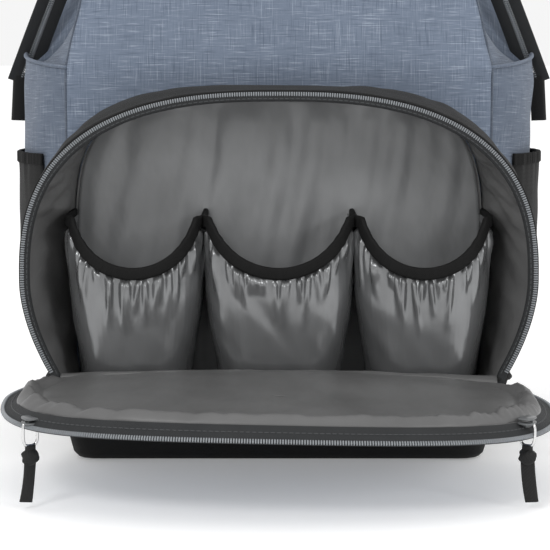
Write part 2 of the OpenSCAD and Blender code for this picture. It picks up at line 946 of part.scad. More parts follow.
strap_webbing();  // strap_webbing_right
mirror([1, 0, 0]) ladder_lock();  // ladder_lock_left
ladder_lock();  // ladder_lock_right
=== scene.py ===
"""Looks of a wide-mouth diaper backpack whose front flap folds down over a hinge line.

Everything is in metres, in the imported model's frame: +X right, +Y towards the shoulder straps, +Z up."""
import json
import math

import bmesh
import bpy
import numpy as np
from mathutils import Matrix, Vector


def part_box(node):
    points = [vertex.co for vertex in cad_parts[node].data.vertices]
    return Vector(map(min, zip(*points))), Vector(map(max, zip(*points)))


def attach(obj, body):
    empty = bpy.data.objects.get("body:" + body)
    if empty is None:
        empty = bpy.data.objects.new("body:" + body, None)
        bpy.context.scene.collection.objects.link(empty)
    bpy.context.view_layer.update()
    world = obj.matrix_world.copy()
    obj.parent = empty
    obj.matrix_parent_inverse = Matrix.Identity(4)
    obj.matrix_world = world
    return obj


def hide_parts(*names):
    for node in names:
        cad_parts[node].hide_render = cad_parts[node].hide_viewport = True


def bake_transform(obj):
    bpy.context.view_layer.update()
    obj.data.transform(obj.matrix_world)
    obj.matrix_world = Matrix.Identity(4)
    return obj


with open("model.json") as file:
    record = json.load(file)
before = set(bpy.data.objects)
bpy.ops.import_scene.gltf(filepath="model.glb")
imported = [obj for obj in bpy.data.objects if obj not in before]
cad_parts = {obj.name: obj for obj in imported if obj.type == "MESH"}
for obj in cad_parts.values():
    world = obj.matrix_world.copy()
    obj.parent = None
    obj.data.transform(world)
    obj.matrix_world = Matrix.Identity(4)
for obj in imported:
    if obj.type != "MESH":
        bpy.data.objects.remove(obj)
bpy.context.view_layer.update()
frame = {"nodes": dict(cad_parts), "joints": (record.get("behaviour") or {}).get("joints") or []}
MM = 0.001


# ---------------------------------------------------------------- sizes from the frame
def corners(node):
    low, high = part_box(node)
    return np.array(low), np.array(high)


def joint(name):
    found = next(j for j in frame["joints"] if j["name"] == name)
    return np.array(found["pos_m"])


tub_low, tub_high = corners("base_tub")
arch_high = corners("compartment_zip_tape")[1]
panel_low, panel_high = corners("front_panel")
side_high = corners("side_panels")[1]
lining_low = corners("compartment_back_lining")[0]
mouth_low, mouth_high = corners("mouth_front_zip_tape")

Y_FRONT = tub_low[1]
Y_BACK = tub_high[1]
Y_PANEL = panel_low[1]
Y_MID = (Y_PANEL + Y_BACK) / 2
TUB_TOP = tub_high[2]
PANEL_HALF = panel_high[0]
BULGE_HALF = side_high[0]
ARCH_HALF = arch_high[0]
CROWN = arch_high[2]
FRONT_HINGE = joint("mouth_front_hinge")
BACK_HINGE = joint("mouth_back_hinge")
FLAP_HINGE = joint("flap_hinge")
MOUTH_HALF = mouth_high[0]
MOUTH_H = mouth_low[2]
WAIST = 115 * MM
HINGE_H = FLAP_HINGE[2]


# ---------------------------------------------------------------- numbers
def mix(a, b, t):
    return a + (b - a) * t


def smoothstep(a, b, x):
    t = np.clip((np.asarray(x, float) - a) / (b - a), 0, 1)
    return t * t * (3 - 2 * t)


def ripple(u, v, seed, coarse, fine, count=9):
    """Smooth irregular waves between -1 and 1 over u and v, with lengths from coarse to fine."""
    rng = np.random.default_rng(seed)
    total = np.zeros(np.broadcast(u, v).shape)
    weight = 0
    for k in range(count):
        length = coarse * (fine / coarse) ** (k / max(count - 1, 1))
        angle = rng.uniform(0, 2 * math.pi)
        size = (length / coarse) ** 0.7
        phase = rng.uniform(0, 2 * math.pi)
        total = total + size * np.sin(2 * math.pi * (u * math.cos(angle) + v * math.sin(angle)) / length + phase)
        weight += size
    return total / weight * 2


def resample(path, step, closed=False):
    """Points at an even step along a path. Columns after the third are carried along with them."""
    path = np.asarray(path, float)
    if closed:
        path = np.vstack([path, path[:1]])
    run = np.concatenate([[0], np.cumsum(np.linalg.norm(np.diff(path[:, :3], axis=0), axis=1))])
    count = max(int(round(run[-1] / step)), 2)
    at = np.linspace(0, run[-1], count + 1)
    points = np.stack([np.interp(at, run, column) for column in path.T], axis=1)
    return points[:-1] if closed else points


def with_rows(path, rows):
    """A path with a direction beside each point, given as one direction or as one for each."""
    path = np.asarray(path, float)
    return np.hstack([path, np.broadcast_to(np.asarray(rows, float), path.shape)])


def xyz(x, y, z):
    """Points from coordinates that are numbers or arrays of one shape."""
    return np.stack(np.broadcast_arrays(x, y, z), axis=-1)


def squared(turn, power):
    """A circle's sideways and upright parts, nearer a square's as power falls from 1."""
    c, s = np.cos(turn), np.sin(turn)
    return np.sign(c) * np.abs(c) ** power, np.sign(s) * np.abs(s) ** power


def side_name(side):
    return "right" if side > 0 else "left"


def unit_rows(v):
    return v / np.maximum(np.linalg.norm(v, axis=1, keepdims=True), 1e-12)


def tangents(path, closed=False):
    if closed:
        return unit_rows(np.roll(path, -1, axis=0) - np.roll(path, 1, axis=0))
    return unit_rows(np.gradient(path, axis=0))


# ---------------------------------------------------------------- meshes
def new_object(name, verts, faces, material, uvs=None):
    mesh = bpy.data.meshes.new(name)
    mesh.from_pydata([tuple(v) for v in verts], [], [tuple(f) for f in faces])
    mesh.polygons.foreach_set("use_smooth", [True] * len(mesh.polygons))
    if uvs is not None:
        layer = mesh.uv_layers.new(name="cloth")
        index = np.zeros(len(mesh.loops), dtype=np.int32)
        mesh.loops.foreach_get("vertex_index", index)
        layer.data.foreach_set("uv", np.asarray(uvs, float)[index].ravel())
    mesh.materials.append(material)
    mesh.validate()
    obj = bpy.data.objects.new(name, mesh)
    bpy.context.collection.objects.link(obj)
    return obj


def apply_modifiers(obj):
    graph = bpy.context.evaluated_depsgraph_get()
    mesh = bpy.data.meshes.new_from_object(obj.evaluated_get(graph))
    obj.modifiers.clear()
    obj.data = mesh
    return obj


def cloth(name, grid, material, thickness=0.0, close=False, offset=-1, swap=False):
    """A sheet through a grid of points, with lengths along it in metres as its UV map."""
    grid = np.asarray(grid, float)
    rows, cols = grid.shape[:2]
    steps_along = np.linalg.norm(np.diff(grid, axis=1), axis=2)
    steps_across = np.linalg.norm(np.diff(grid, axis=0), axis=2)
    along = np.concatenate([np.zeros((rows, 1)), np.cumsum(steps_along, axis=1)], axis=1)
    across = np.concatenate([np.zeros((1, cols)), np.cumsum(steps_across, axis=0)], axis=0)
    along = along - along.mean(axis=1, keepdims=True)
    uvs = np.stack([along.ravel(), across.ravel()], axis=1)
    last = cols if close else cols - 1
    faces = []
    for i in range(rows - 1):
        for j in range(last):
            a, b = i * cols + j, i * cols + (j + 1) % cols
            faces.append((a, b, b + cols, a + cols) if not swap else (a + cols, b + cols, b, a))
    obj = new_object(name, grid.reshape(-1, 3), faces, material, uvs)
    if thickness:
        solid = obj.modifiers.new("thickness", "SOLIDIFY")
        solid.thickness = thickness
        solid.offset = offset
        solid.use_even_offset = False
        apply_modifiers(obj)
    return obj


def sweep(name, path, section, side, material, closed=False, caps=True):
    """A section of (side, up) points carried along a path; side is the direction of the section's width."""
    path = np.asarray(path, float)
    section = np.asarray(section, float)
    way = tangents(path, closed)
    side = np.broadcast_to(np.asarray(side, float), path.shape)
    side = unit_rows(side - way * np.sum(side * way, axis=1, keepdims=True))
    up = np.cross(way, side)
    rings = path[:, None, :] + section[None, :, 0:1] * side[:, None, :] + section[None, :, 1:2] * up[:, None, :]
    count, turns = len(path), len(section)
    run = np.concatenate([[0], np.cumsum(np.linalg.norm(np.diff(path, axis=0), axis=1))])
    round_run = np.concatenate([[0], np.cumsum(np.linalg.norm(np.diff(section, axis=0), axis=1))])
    uvs = np.stack([np.repeat(run, turns), np.tile(round_run, count)], axis=1)
    faces = []
    for i in range(count if closed else count - 1):
        n = (i + 1) % count
        for j in range(turns):
            m = (j + 1) % turns
            faces.append((i * turns + j, n * turns + j, n * turns + m, i * turns + m))
    if caps and not closed:
        faces.append(tuple(range(turns)))
        faces.append(tuple((count - 1) * turns + j for j in reversed(range(turns))))
    return new_object(name, rings.reshape(-1, 3), faces, material, uvs)


def rounded_rectangle(half_x, half_y, r, steps):
    """Rows of (x, y) round a rectangle with rounded corners, centred on the origin."""
    points = []
    for cx, cy, start in ((1, 1, 0), (-1, 1, 90), (-1, -1, 180), (1, -1, 270)):
        for k in range(steps + 1):
            a = math.radians(start + 90 * k / steps)
            points.append((cx * (half_x - r) + r * math.cos(a), cy * (half_y - r) + r * math.sin(a)))
    return np.array(points)


def band(width, thickness, round_to=None):
    """Rounded rectangle section, width by thickness."""
    r = min(round_to or thickness * 0.45, thickness * 0.49, width * 0.49)
    return rounded_rectangle(width / 2, thickness / 2, r, 3)


def disc(radius, steps=10):
    turn = np.linspace(0, 2 * math.pi, steps, endpoint=False)
    return radius * np.column_stack([np.cos(turn), np.sin(turn)])


def scatter_blocks(name, centres, axes, sizes, material):
    """One mesh of small chamfered blocks; axes holds three unit rows for each block."""
    chamfers = ((1, 0.62, 0.62), (0.62, 1, 0.62), (0.62, 0.62, 1))
    template = [(x * a, y * b, z * c) for a, b, c in chamfers for x in (-1, 1) for y in (-1, 1) for z in (-1, 1)]
    shape = bmesh.new()
    for point in template:
        shape.verts.new(point)
    bmesh.ops.convex_hull(shape, input=shape.verts)
    shape.verts.index_update()
    faces = [[v.index for v in f.verts] for f in shape.faces]
    template = np.array([v.co[:] for v in shape.verts])
    shape.free()
    half = np.asarray(sizes, float) / 2
    verts = np.einsum("tk,nkd->ntd", template * half, axes) + centres[:, None, :]
    count = len(template)
    all_faces = [[i * count + k for k in f] for i in range(len(centres)) for f in faces]
    obj = new_object(name, verts.reshape(-1, 3), all_faces, material)
    obj.data.polygons.foreach_set("use_smooth", [False] * len(obj.data.polygons))
    return obj


def zip_chain(name, path, width_way, material, pitch=1.5 * MM, size=(2.6, 0.95, 1.3), closed=False):
    """Zip teeth across a path; width_way points across the chain."""
    points, side = np.hsplit(resample(with_rows(path, width_way), pitch, closed), 2)
    way = tangents(points, closed)
    side = unit_rows(side - way * np.sum(side * way, axis=1, keepdims=True))
    axes = np.stack([side, way, np.cross(way, side)], axis=1)
    return scatter_blocks(name, points, axes, np.array(size) * MM, material)


def stitches(name, path, material, out, pitch=3.4 * MM, size=(2.5, 0.55, 0.4)):
    """A row of sewn stitches along a path, lying on the side that out points to."""
    points, out = np.hsplit(resample(with_rows(path, out), pitch), 2)
    way = tangents(points)
    out = unit_rows(out - way * np.sum(out * way, axis=1, keepdims=True))
    axes = np.stack([way, np.cross(out, way), out], axis=1)
    return scatter_blocks(name, points, axes, np.array(size) * MM, material)


def finish_piece(obj, body, nodes=()):
    """Puts a piece on its body, or on none when no body is given."""
    if body:
        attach(obj, body)
    if nodes:
        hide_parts(*nodes)
    return obj


def stitch_on(name, path, out, body):
    finish_piece(stitches(name, path, THREAD, out), body)


def webbing_on(name, path, profile, across, body, nodes=()):
    finish_piece(sweep(name, path, profile, across, WEBBING), body, nodes)


# ---------------------------------------------------------------- materials
def new_material(name, rough, metal=0.0, sheen=0.0, coat=0.0, specular=0.5):
    material = bpy.data.materials.new(name)
    material.use_nodes = True
    shader = material.node_tree.nodes["Principled BSDF"]
    shader.inputs["Roughness"].default_value = rough
    shader.inputs["Metallic"].default_value = metal
    shader.inputs["Sheen Weight"].default_value = sheen
    shader.inputs["Coat Weight"].default_value = coat
    shader.inputs["Specular IOR Level"].default_value = specular
    return material, shader


class Nodes:
    """Short calls for building one material's nodes."""

    def __init__(self, material, coords="UV"):
        self.tree = material.node_tree
        self.place = self.tree.nodes.new("ShaderNodeTexCoord").outputs[coords]

    def add(self, kind, **values):
        node = self.tree.nodes.new(kind)
        for key, value in values.items():
            setattr(node, key, value)
        return node

    def link(self, a, b):
        self.tree.links.new(a, b)

    def scaled(self, x, y, z=1.0, turn=0.0):
        node = self.add("ShaderNodeMapping")
        node.inputs["Scale"].default_value = (x, y, z)
        node.inputs["Rotation"].default_value = (0, 0, turn)
        self.link(self.place, node.inputs["Vector"])
        return node.outputs["Vector"]

    def noise(self, vector, scale, detail=2.0, rough=0.5):
        node = self.add("ShaderNodeTexNoise")
        node.inputs["Scale"].default_value = scale
        node.inputs["Detail"].default_value = detail
        node.inputs["Roughness"].default_value = rough
        self.link(vector, node.inputs["Vector"])
        return node.outputs["Fac"]

    def wave(self, vector, scale, direction="X", distortion=0.0):
        node = self.add("ShaderNodeTexWave", bands_direction=direction)
        node.inputs["Scale"].default_value = scale
        node.inputs["Distortion"].default_value = distortion
        self.link(vector, node.inputs["Vector"])
        return node.outputs["Fac"]

    def math(self, how, a, b):
        node = self.add("ShaderNodeMath", operation=how)
        for socket, value in zip(node.inputs, (a, b)):
            if isinstance(value, (int, float)):
                socket.default_value = value
            else:
                self.link(value, socket)
        return node.outputs[0]

    def ramp(self, factor, stops):
        node = self.add("ShaderNodeValToRGB")
        marks = node.color_ramp.elements
        while len(marks) < len(stops):
            marks.new(0.5)
        for mark, (at, colour) in zip(marks, stops):
            mark.position = at
            mark.color = (*colour, 1)
        self.link(factor, node.inputs["Fac"])
        return node.outputs["Color"]

    def mask(self, factor, *stops):
        return self.ramp(factor, [(at, grey(v)) for at, v in stops])

    def threads(self, scale):
        """Plain weave: two sets of ribs multiplied."""
        ribs = (self.wave(self.scaled(1, 1), scale, direction) for direction in "XY")
        return self.math("MULTIPLY", *ribs)

    def varied(self, factor, socket, low, high):
        node = self.add("ShaderNodeMapRange")
        self.link(factor, node.inputs["Value"])
        node.inputs["To Min"].default_value = low
        node.inputs["To Max"].default_value = high
        self.link(node.outputs["Result"], socket)

    def blend(self, factor, a, b, how="MIX"):
        node = self.add("ShaderNodeMix", data_type="RGBA", blend_type=how)
        colours = [s for s in node.inputs if s.type == "RGBA"]
        for socket, value in ((node.inputs[0], factor), (colours[0], a), (colours[1], b)):
            if isinstance(value, (int, float)):
                socket.default_value = value
            elif isinstance(value, tuple):
                socket.default_value = (*value, 1)
            else:
                self.link(value, socket)
        return next(s for s in node.outputs if s.type == "RGBA")

    def bump(self, height, shader, strength=0.3, distance=0.0004, below=None):
        node = self.add("ShaderNodeBump")
        node.inputs["Strength"].default_value = strength
        node.inputs["Distance"].default_value = distance
        self.link(height, node.inputs["Height"])
        if below is not None:
            self.link(below, node.inputs["Normal"])
        self.link(node.outputs["Normal"], shader.inputs["Normal"])
        return node.outputs["Normal"]


def grey(v, tint=0.0):
    """A grey of linear value v, bluer with tint."""
    return (v * (1 - tint), v, v * (1 + tint))


def times(colour, share):
    return tuple(min(c * share, 1) for c in colour)


def heather_material(name, shade=1.0, coords="UV"):
    """Slub weave: light and dark yarn runs both ways over a fine plain weave."""
    material, shader = new_material(name, 0.86, sheen=0.12, specular=0.25)
    n = Nodes(material, coords)
    weft = n.noise(n.scaled(55, 1150), 1.0, 2.5, 0.6)
    warp = n.noise(n.scaled(1250, 42), 1.0, 2.5, 0.6)
    cloud = n.noise(n.scaled(16, 16), 1.0, 3.0)
    base = times((0.148, 0.181, 0.240), shade)
    light = times((0.36, 0.41, 0.48), shade)
    dark = times((0.062, 0.081, 0.118), shade)
    colour = n.blend(n.mask(weft, (0.56, 0), (0.74, 0.85)), base, light)
    colour = n.blend(n.mask(warp, (0.58, 0), (0.76, 0.62)), colour, light)
    colour = n.blend(n.mask(weft, (0.3, 0.6), (0.44, 0)), colour, dark)
    colour = n.blend(n.mask(warp, (0.28, 0.75), (0.43, 0)), colour, dark)
    colour = n.blend(n.mask(cloud, (0.35, 0), (0.7, 0.16)), colour, dark)
    height = n.math("ADD", n.threads(300), n.math("MULTIPLY", weft, 1.2))
    n.link(colour, shader.inputs["Base Color"])
    n.bump(height, shader, 0.5, 0.0003)
    return material


def weave_material(name, colour, pitch=0.9 * MM, rough=0.8, worn=1.7, coords="UV", sheen=0.15, specular=0.3):
    """Plain woven cloth in one colour, a little lighter where threads rise and where it has rubbed."""
    material, shader = new_material(name, rough, sheen=sheen, specular=specular)
    n = Nodes(material, coords)
    threads = n.threads(1 / pitch / 3.2)
    cloud = n.noise(n.scaled(38, 38), 1.0, 4.0, 0.6)
    mixed = n.math("ADD", n.math("MULTIPLY", threads, 0.45), n.math("MULTIPLY", cloud, 0.55))
    n.link(n.ramp(mixed, [(0.2, colour), (0.85, times(colour, worn))]), shader.inputs["Base Color"])
    n.bump(threads, shader, 0.55, 0.0003)
    return material


def twill_material(name, colour, pitch=1.1 * MM, rough=0.7, worn=1.6, specular=0.3, sheen=0.03):
    """Diagonal twill, for zip tape, webbing and binding."""
    material, shader = new_material(name, rough, sheen=sheen, specular=specular)
    n = Nodes(material)
    ribs = n.wave(n.scaled(1, 1, 1, 0.72), 1 / pitch / 3.2, "X")
    cloud = n.noise(n.scaled(60, 60), 1.0, 3.0)
    mixed = n.math("ADD", n.math("MULTIPLY", ribs, 0.5), n.math("MULTIPLY", cloud, 0.5))
    n.link(n.ramp(mixed, [(0.2, colour), (0.8, times(colour, worn))]), shader.inputs["Base Color"])
    n.bump(ribs, shader, 0.5, 0.0003)
    return material


def satin_material(name, colour, rough=0.42, metal=0.0, crease=0.35, painted_sheen=1.5, specular=0.5, coords="UV"):
    """Coated lining: smooth, with soft creases that catch the light, and patches of painted sheen that lighten its
    colour.
    """
    material, shader = new_material(name, rough, metal=metal, specular=specular)
    n = Nodes(material, coords)
    soft = n.noise(n.scaled(24, 15), 1.0, 3.0, 0.55)
    fine = n.noise(n.scaled(1400, 1400), 1.0, 1.0)
    folds = n.noise(n.scaled(70, 38, 1, 0.5), 1.0, 2.0, 0.5)
    # painted sheen: soft noise lightens the colour in patches, up to the given factor, standing in for sheen on the
    # coated cloth
    n.link(n.ramp(soft, [(0.3, colour), (0.75, times(colour, painted_sheen))]), shader.inputs["Base Color"])
    low = n.bump(folds, shader, crease, 0.003)
    n.bump(fine, shader, 0.15, 0.0001, below=low)
    n.varied(folds, shader.inputs["Roughness"], rough - 0.07, rough + 0.1)
    return material


def moulded_material(name, colour, rough=0.45, metal=0.0, coords="Object", scratch=0.12):
    """Moulded plastic or cast metal, with fine scuffs."""
    material, shader = new_material(name, rough, metal=metal)
    n = Nodes(material, coords)
    scuff = n.noise(n.scaled(900, 250, 900), 1.0, 3.0, 0.6)
    n.link(n.ramp(scuff, [(0.35, colour), (0.8, times(colour, 1.3))]), shader.inputs["Base Color"])
    n.varied(scuff, shader.inputs["Roughness"], max(rough - 0.08, 0.05), rough + 0.12)
    n.bump(scuff, shader, scratch, 0.0001)
    return material


HEATHER = heather_material("heather_cloth")
# painted shade: a darker copy of the heather for the sides, the side hems and the fold-in gussets, where shade falls
HEATHER_SHADED = heather_material("heather_painted_shade_cloth", 0.76)
HEATHER_SEAM = heather_material("heather_seam_cloth", 0.5)
BLACK = weave_material("black_cloth", grey(0.008), rough=0.78, sheen=0.05, specular=0.2)
MESH_PAD = weave_material("spacer_mesh", grey(0.014), pitch=2.6 * MM, rough=0.9)
WEBBING = twill_material("webbing", grey(0.008), pitch=1.4 * MM)
BINDING = twill_material("elastic_binding", grey(0.0045), pitch=0.9 * MM, rough=0.75, specular=0.2, sheen=0.0)
THREAD = weave_material("sewing_thread", grey(0.05, 0.05), pitch=0.3 * MM)
SATIN = satin_material("satin_lining", grey(0.105), rough=0.36, crease=0.35)
SATIN_CAD = satin_material("satin_floor_pad", grey(0.105), rough=0.36, crease=0.35, coords="Object")
SATIN_FLAP = satin_material("flap_lining", grey(0.082), rough=0.42, crease=0.12, painted_sheen=1.35)
# painted light: a lighter copy of the lining satin for the lit back wall of the compartment; its sides keep
# satin_lining
SATIN_WALL_LIT = satin_material("satin_wall_painted_light", grey(0.19, 0.02), rough=0.38, crease=0.4, painted_sheen=1.4)
MAIN_LINING = satin_material("main_lining", grey(0.3, 0.04), rough=0.5)
FOIL = satin_material("foil_lining", grey(0.17, 0.02), rough=0.22, metal=0.6, crease=0.14, painted_sheen=1.3, specular=0.8)
# partly painted shade: over the tape's own dark grey, its colour is darkened further to carry the shade of the groove
# beside the flap's tape
TAPE = twill_material("zip_tape", grey(0.02, 0.05), pitch=0.8 * MM, specular=0.2)
TEETH = moulded_material("zip_teeth", grey(0.2, 0.06), rough=0.35)
SLIDER = moulded_material("slider_enamel", grey(0.1, 0.04), rough=0.3)
NICKEL = moulded_material("nickel", grey(0.58), rough=0.2, metal=1.0)
STEEL = moulded_material("steel_wire", grey(0.5), rough=0.3, metal=1.0)
PLASTIC = moulded_material("buckle_plastic", grey(0.012), rough=0.42)
BOARD = weave_material("base_board", grey(0.05), pitch=3 * MM, rough=0.7, coords="Object")


def dress(node, material):
    """Gives a CAD node that stays a better material."""
    mesh = frame["nodes"][node].data
    mesh.materials.clear()
    mesh.materials.append(material)


# ---------------------------------------------------------------- camera, floor and lights
LAMPS = {  # place, width and watts
    "key": ((-1.0, -2.0, 1.7), 0.6, 17),
    "fill": ((1.7, -1.9, 1.0), 0.5, 10),
    "top": ((0, -0.6, 2.6), 1.6, 5),
}
LAMPS_AIM = Vector((0, -0.05, 0.18))
CAMERA_DISTANCE = 1.2
CAMERA_HEIGHT = 0.265
CAMERA_TILT = math.radians(6.9)
CAMERA_LENS, CAMERA_SENSOR = 124.5, 36
CAMERA_SHIFT = -0.007


def make_stage():
    floor_material, shader = new_material("floor", 0.9)
    shader.inputs["Base Color"].default_value = (0.92, 0.92, 0.92, 1)
    shader.inputs["Emission Color"].default_value = (1, 1, 1, 1)
    shader.inputs["Emission Strength"].default_value = 0.22
    bpy.ops.mesh.primitive_plane_add(size=30, location=(0, 8, -0.0005))
    floor = bpy.context.object
    floor.name = "floor"
    floor.data.materials.append(floor_material)
    world = bpy.data.worlds.new("studio")
    bpy.context.scene.world = world
    bpy.context.scene.view_settings.view_transform = "Standard"
    world.use_nodes = True
    world.node_tree.nodes["Background"].inputs["Color"].default_value = (1, 1, 1, 1)
    world.node_tree.nodes["Background"].inputs["Strength"].default_value = 0.92
    for name, (spot, size, power) in LAMPS.items():
        lamp = bpy.data.lights.new(name, "AREA")
        lamp.energy = power
        lamp.size = size
        obj = bpy.data.objects.new(name, lamp)
        obj.location = spot
        obj.rotation_euler = (LAMPS_AIM - Vector(spot)).to_track_quat("-Z", "Y").to_euler()
        bpy.context.collection.objects.link(obj)


def make_camera():
    camera = bpy.data.cameras.new("camera")
    camera.lens = CAMERA_LENS
    camera.sensor_width = CAMERA_SENSOR
    obj = bpy.data.objects.new("camera", camera)
    obj.location = (0, Y_FRONT - CAMERA_DISTANCE, CAMERA_HEIGHT)
    obj.rotation_euler = (math.pi / 2 - CAMERA_TILT, 0, 0)
    camera.shift_x = CAMERA_SHIFT
    bpy.context.collection.objects.link(obj)
    bpy.context.scene.camera = obj


make_camera()
make_stage()


# ---------------------------------------------------------------- outlines shared by pieces
ARCH_COLUMNS = 180


def arch(f, inset):
    """Arch of the compartment as rows of (x, z), right foot to left; f is 0 at the zip and 1 at the front panel."""
    half = mix(ARCH_HALF, PANEL_HALF - 2 * MM, f) - inset
    power = 2 / mix(2.6, 4, f)
    height = CROWN - WAIST - inset
    foot = mix(146.5 * MM, 140 * MM, f) - inset
    toe = 134.4 * MM - inset
    turn = np.radians(np.linspace(0, 180, ARCH_COLUMNS + 1))
    c, s = np.cos(turn), np.sin(turn)
    x = half * np.sign(c) * np.abs(c) ** power
    z = WAIST + height * np.abs(s) ** power
    leg_z = np.linspace(16 * MM, WAIST, 24, endpoint=False)
    low = mix(toe, foot, np.clip((leg_z - 16 * MM) / (HINGE_H - 16 * MM), 0, 1))
    high = half - (half - foot) * (1 - np.clip((leg_z - HINGE_H) / (WAIST - HINGE_H), 0, 1)) ** 1.8
    leg_x = np.where(leg_z < HINGE_H, low, high)
    xs = np.concatenate([leg_x, x, -leg_x[::-1]])
    zs = np.concatenate([leg_z, z, leg_z[::-1]])
    return np.stack([xs, zs], axis=1)


def arch_line(y, f, inset, lowest=0.0):
    points = arch(f, inset)
    points = points[points[:, 1] >= lowest]
    return xyz(points[:, 0], y, points[:, 1])


def outward(points):
    """In-plane outward directions of an arch line in X and Z."""
    way = tangents(points)
    return xyz(way[:, 2], 0.0, -way[:, 0])


# ---------------------------------------------------------------- bottle compartment
def make_compartment():
    rows = np.linspace(0, 1, 13)
    outer, inner = [], []
    for f in rows:
        y = mix(Y_FRONT + 2.2 * MM, Y_PANEL, f)
        line = arch_line(y, f, 0)
        out = outward(line)
        run = np.arange(len(line)) * 4 * MM
        swell = 2.5 * MM * math.sin(math.pi * f) + 0.7 * MM * ripple(run, f * 0.08, 3, 0.09, 0.02)
        swell = swell * smoothstep(0, 0.15, f) * smoothstep(1, 0.85, f)
        outer.append(line + out * swell[:, None])
        line = arch_line(y, f, 2.4 * MM)
        pucker = ripple(run, f * 0.06, 5, 0.05, 0.008, 12)
        depth = (0.4 + 2.2 * smoothstep(0, 0.3, f) * smoothstep(1.02, 0.7, f)) * MM
        inner.append(line - outward(line) * (depth * (0.8 + 0.8 * pucker))[:, None])
    gusset = cloth("compartment_gusset_cloth", outer, BLACK, 1.2 * MM, offset=0)
    finish_piece(gusset, "bag", ["compartment_gusset"])
    lining = cloth("compartment_lining_cloth", inner, SATIN, 0.7 * MM, offset=0)
    finish_piece(lining, "bag", ["compartment_lining"])

    seam = arch_line(Y_PANEL - 0.4 * MM, 1, -0.8 * MM, TUB_TOP)
    piping = sweep("compartment_rear_piping", resample(seam, 3 * MM), disc(1.5 * MM), (0, 1, 0), BLACK)
    finish_piece(piping, "bag")
    stitch_line = arch_line(Y_PANEL - 1.2 * MM, 1, -5 * MM, TUB_TOP + 8 * MM)
    stitch_on("compartment_rear_stitches", stitch_line, (0, -1, 0), "bag")

    centre = arch_line(Y_FRONT + 1.2 * MM, 0, 2.9 * MM, TUB_TOP - 6 * MM)
    centre = resample(centre, 3 * MM)
    tape = sweep("compartment_tape", centre, band(5.4 * MM, 0.8 * MM), outward(centre), TAPE)
    finish_piece(tape, "bag", ["compartment_zip_tape"])
    line = resample(arch_line(Y_FRONT + 0.5 * MM, 0, 1.6 * MM, HINGE_H), 1.5 * MM)
    teeth = zip_chain("compartment_teeth", line, outward(line), TEETH)
    finish_piece(teeth, "bag", ["compartment_zip_teeth"])
    line = resample(arch_line(Y_FRONT + 0.7 * MM, 0, 4.6 * MM, HINGE_H), 3.4 * MM)
    stitch_on("compartment_tape_stitches", line, (0, -1, 0), "bag")
    roll = resample(arch_line(Y_FRONT + 2.4 * MM, 0, 5.5 * MM, HINGE_H - 8 * MM), 4 * MM)
    finish_piece(sweep("compartment_inner_binding", roll, disc(1.0 * MM), (0, 1, 0), TAPE), "bag")


def make_back_lining():
    """Back wall of the compartment, with slack vertical folds."""
    z = np.linspace(16 * MM, CROWN - 4.6 * MM, 80)
    outline = arch(1, 3.6 * MM)
    side = outline[outline[:, 0] > 0]
    half = np.interp(z, side[np.argsort(side[:, 1]), 1], side[np.argsort(side[:, 1]), 0])
    t = np.linspace(-1, 1, 150)
    x = half[:, None] * t[None, :]
    zz = np.repeat(z[:, None], len(t), axis=1)
    folds = ripple(x + 0.02 * np.sin(zz * 30), zz * 0.12, 11, 0.07, 0.012, 10)
    edge = smoothstep(1, 0.9, np.abs(t))[None, :] * smoothstep(CROWN - 5 * MM, CROWN - 24 * MM, zz)
    long_folds = ripple(x + 0.01 * np.sin(zz * 21), zz * 0.05, 12, 0.045, 0.016, 7)
    deep = mix(2.0, 3.2, smoothstep(140 * MM, 185 * MM, zz)) * np.maximum(long_folds, -0.2)
    y = lining_low[1] - 0.4 * MM - (1.6 * (0.5 + 0.5 * folds) + deep) * MM * edge
    y = np.where((np.abs(t)[None, :] > 0.995) | (zz > CROWN - 5.5 * MM), Y_PANEL - 0.6 * MM, y)
    grid = xyz(x, y, zz)
    back = cloth("compartment_back_cloth", grid, SATIN_WALL_LIT, 0.6 * MM, swap=True)
    finish_piece(back, "bag", ["compartment_back_lining"])
    dress("front_insulation", SATIN_CAD)


# ---------------------------------------------------------------- bottle pockets
pocket_low, pocket_high = corners("bottle_pocket_middle")
binding_low, binding_high = corners("pocket_binding_middle")
POCKET_FRONT = pocket_low[1]
POCKET_BACK = pocket_high[1]
POCKET_FLOOR = pocket_low[2]
POCKET_PEAK = binding_high[2]
BINDING_H = 8 * MM
SCOOP_LOW = binding_low[2] + BINDING_H


def scoop(x, half):
    """Height of the finished edge of a pocket of a half width, at x from its middle."""
    depth = POCKET_PEAK - SCOOP_LOW
    reach = half - 3 * MM
    r = (reach ** 2 + depth ** 2) / (2 * depth)
    return np.minimum(SCOOP_LOW + r - np.sqrt(np.maximum(r * r - x * x, 0)), POCKET_PEAK)


def pocket_plan(step, half, shrink=0.0):
    """Plan of a pocket's wall from its right back corner round the front to its left back corner."""
    half = half - shrink
    front = POCKET_FRONT + shrink
    corner = 27 * MM
    turn = np.radians(np.linspace(0, 90, 14))
    right = np.stack([half - corner + corner * np.cos(turn), front + corner - corner * np.sin(turn)], axis=1)
    left = np.stack([-right[::-1, 0], right[::-1, 1]], axis=1)
    line = np.vstack([[half, POCKET_BACK], right, left, [-half, POCKET_BACK]])
    line = np.column_stack([line, np.zeros(len(line))])
    return resample(line, step)[:, :2]


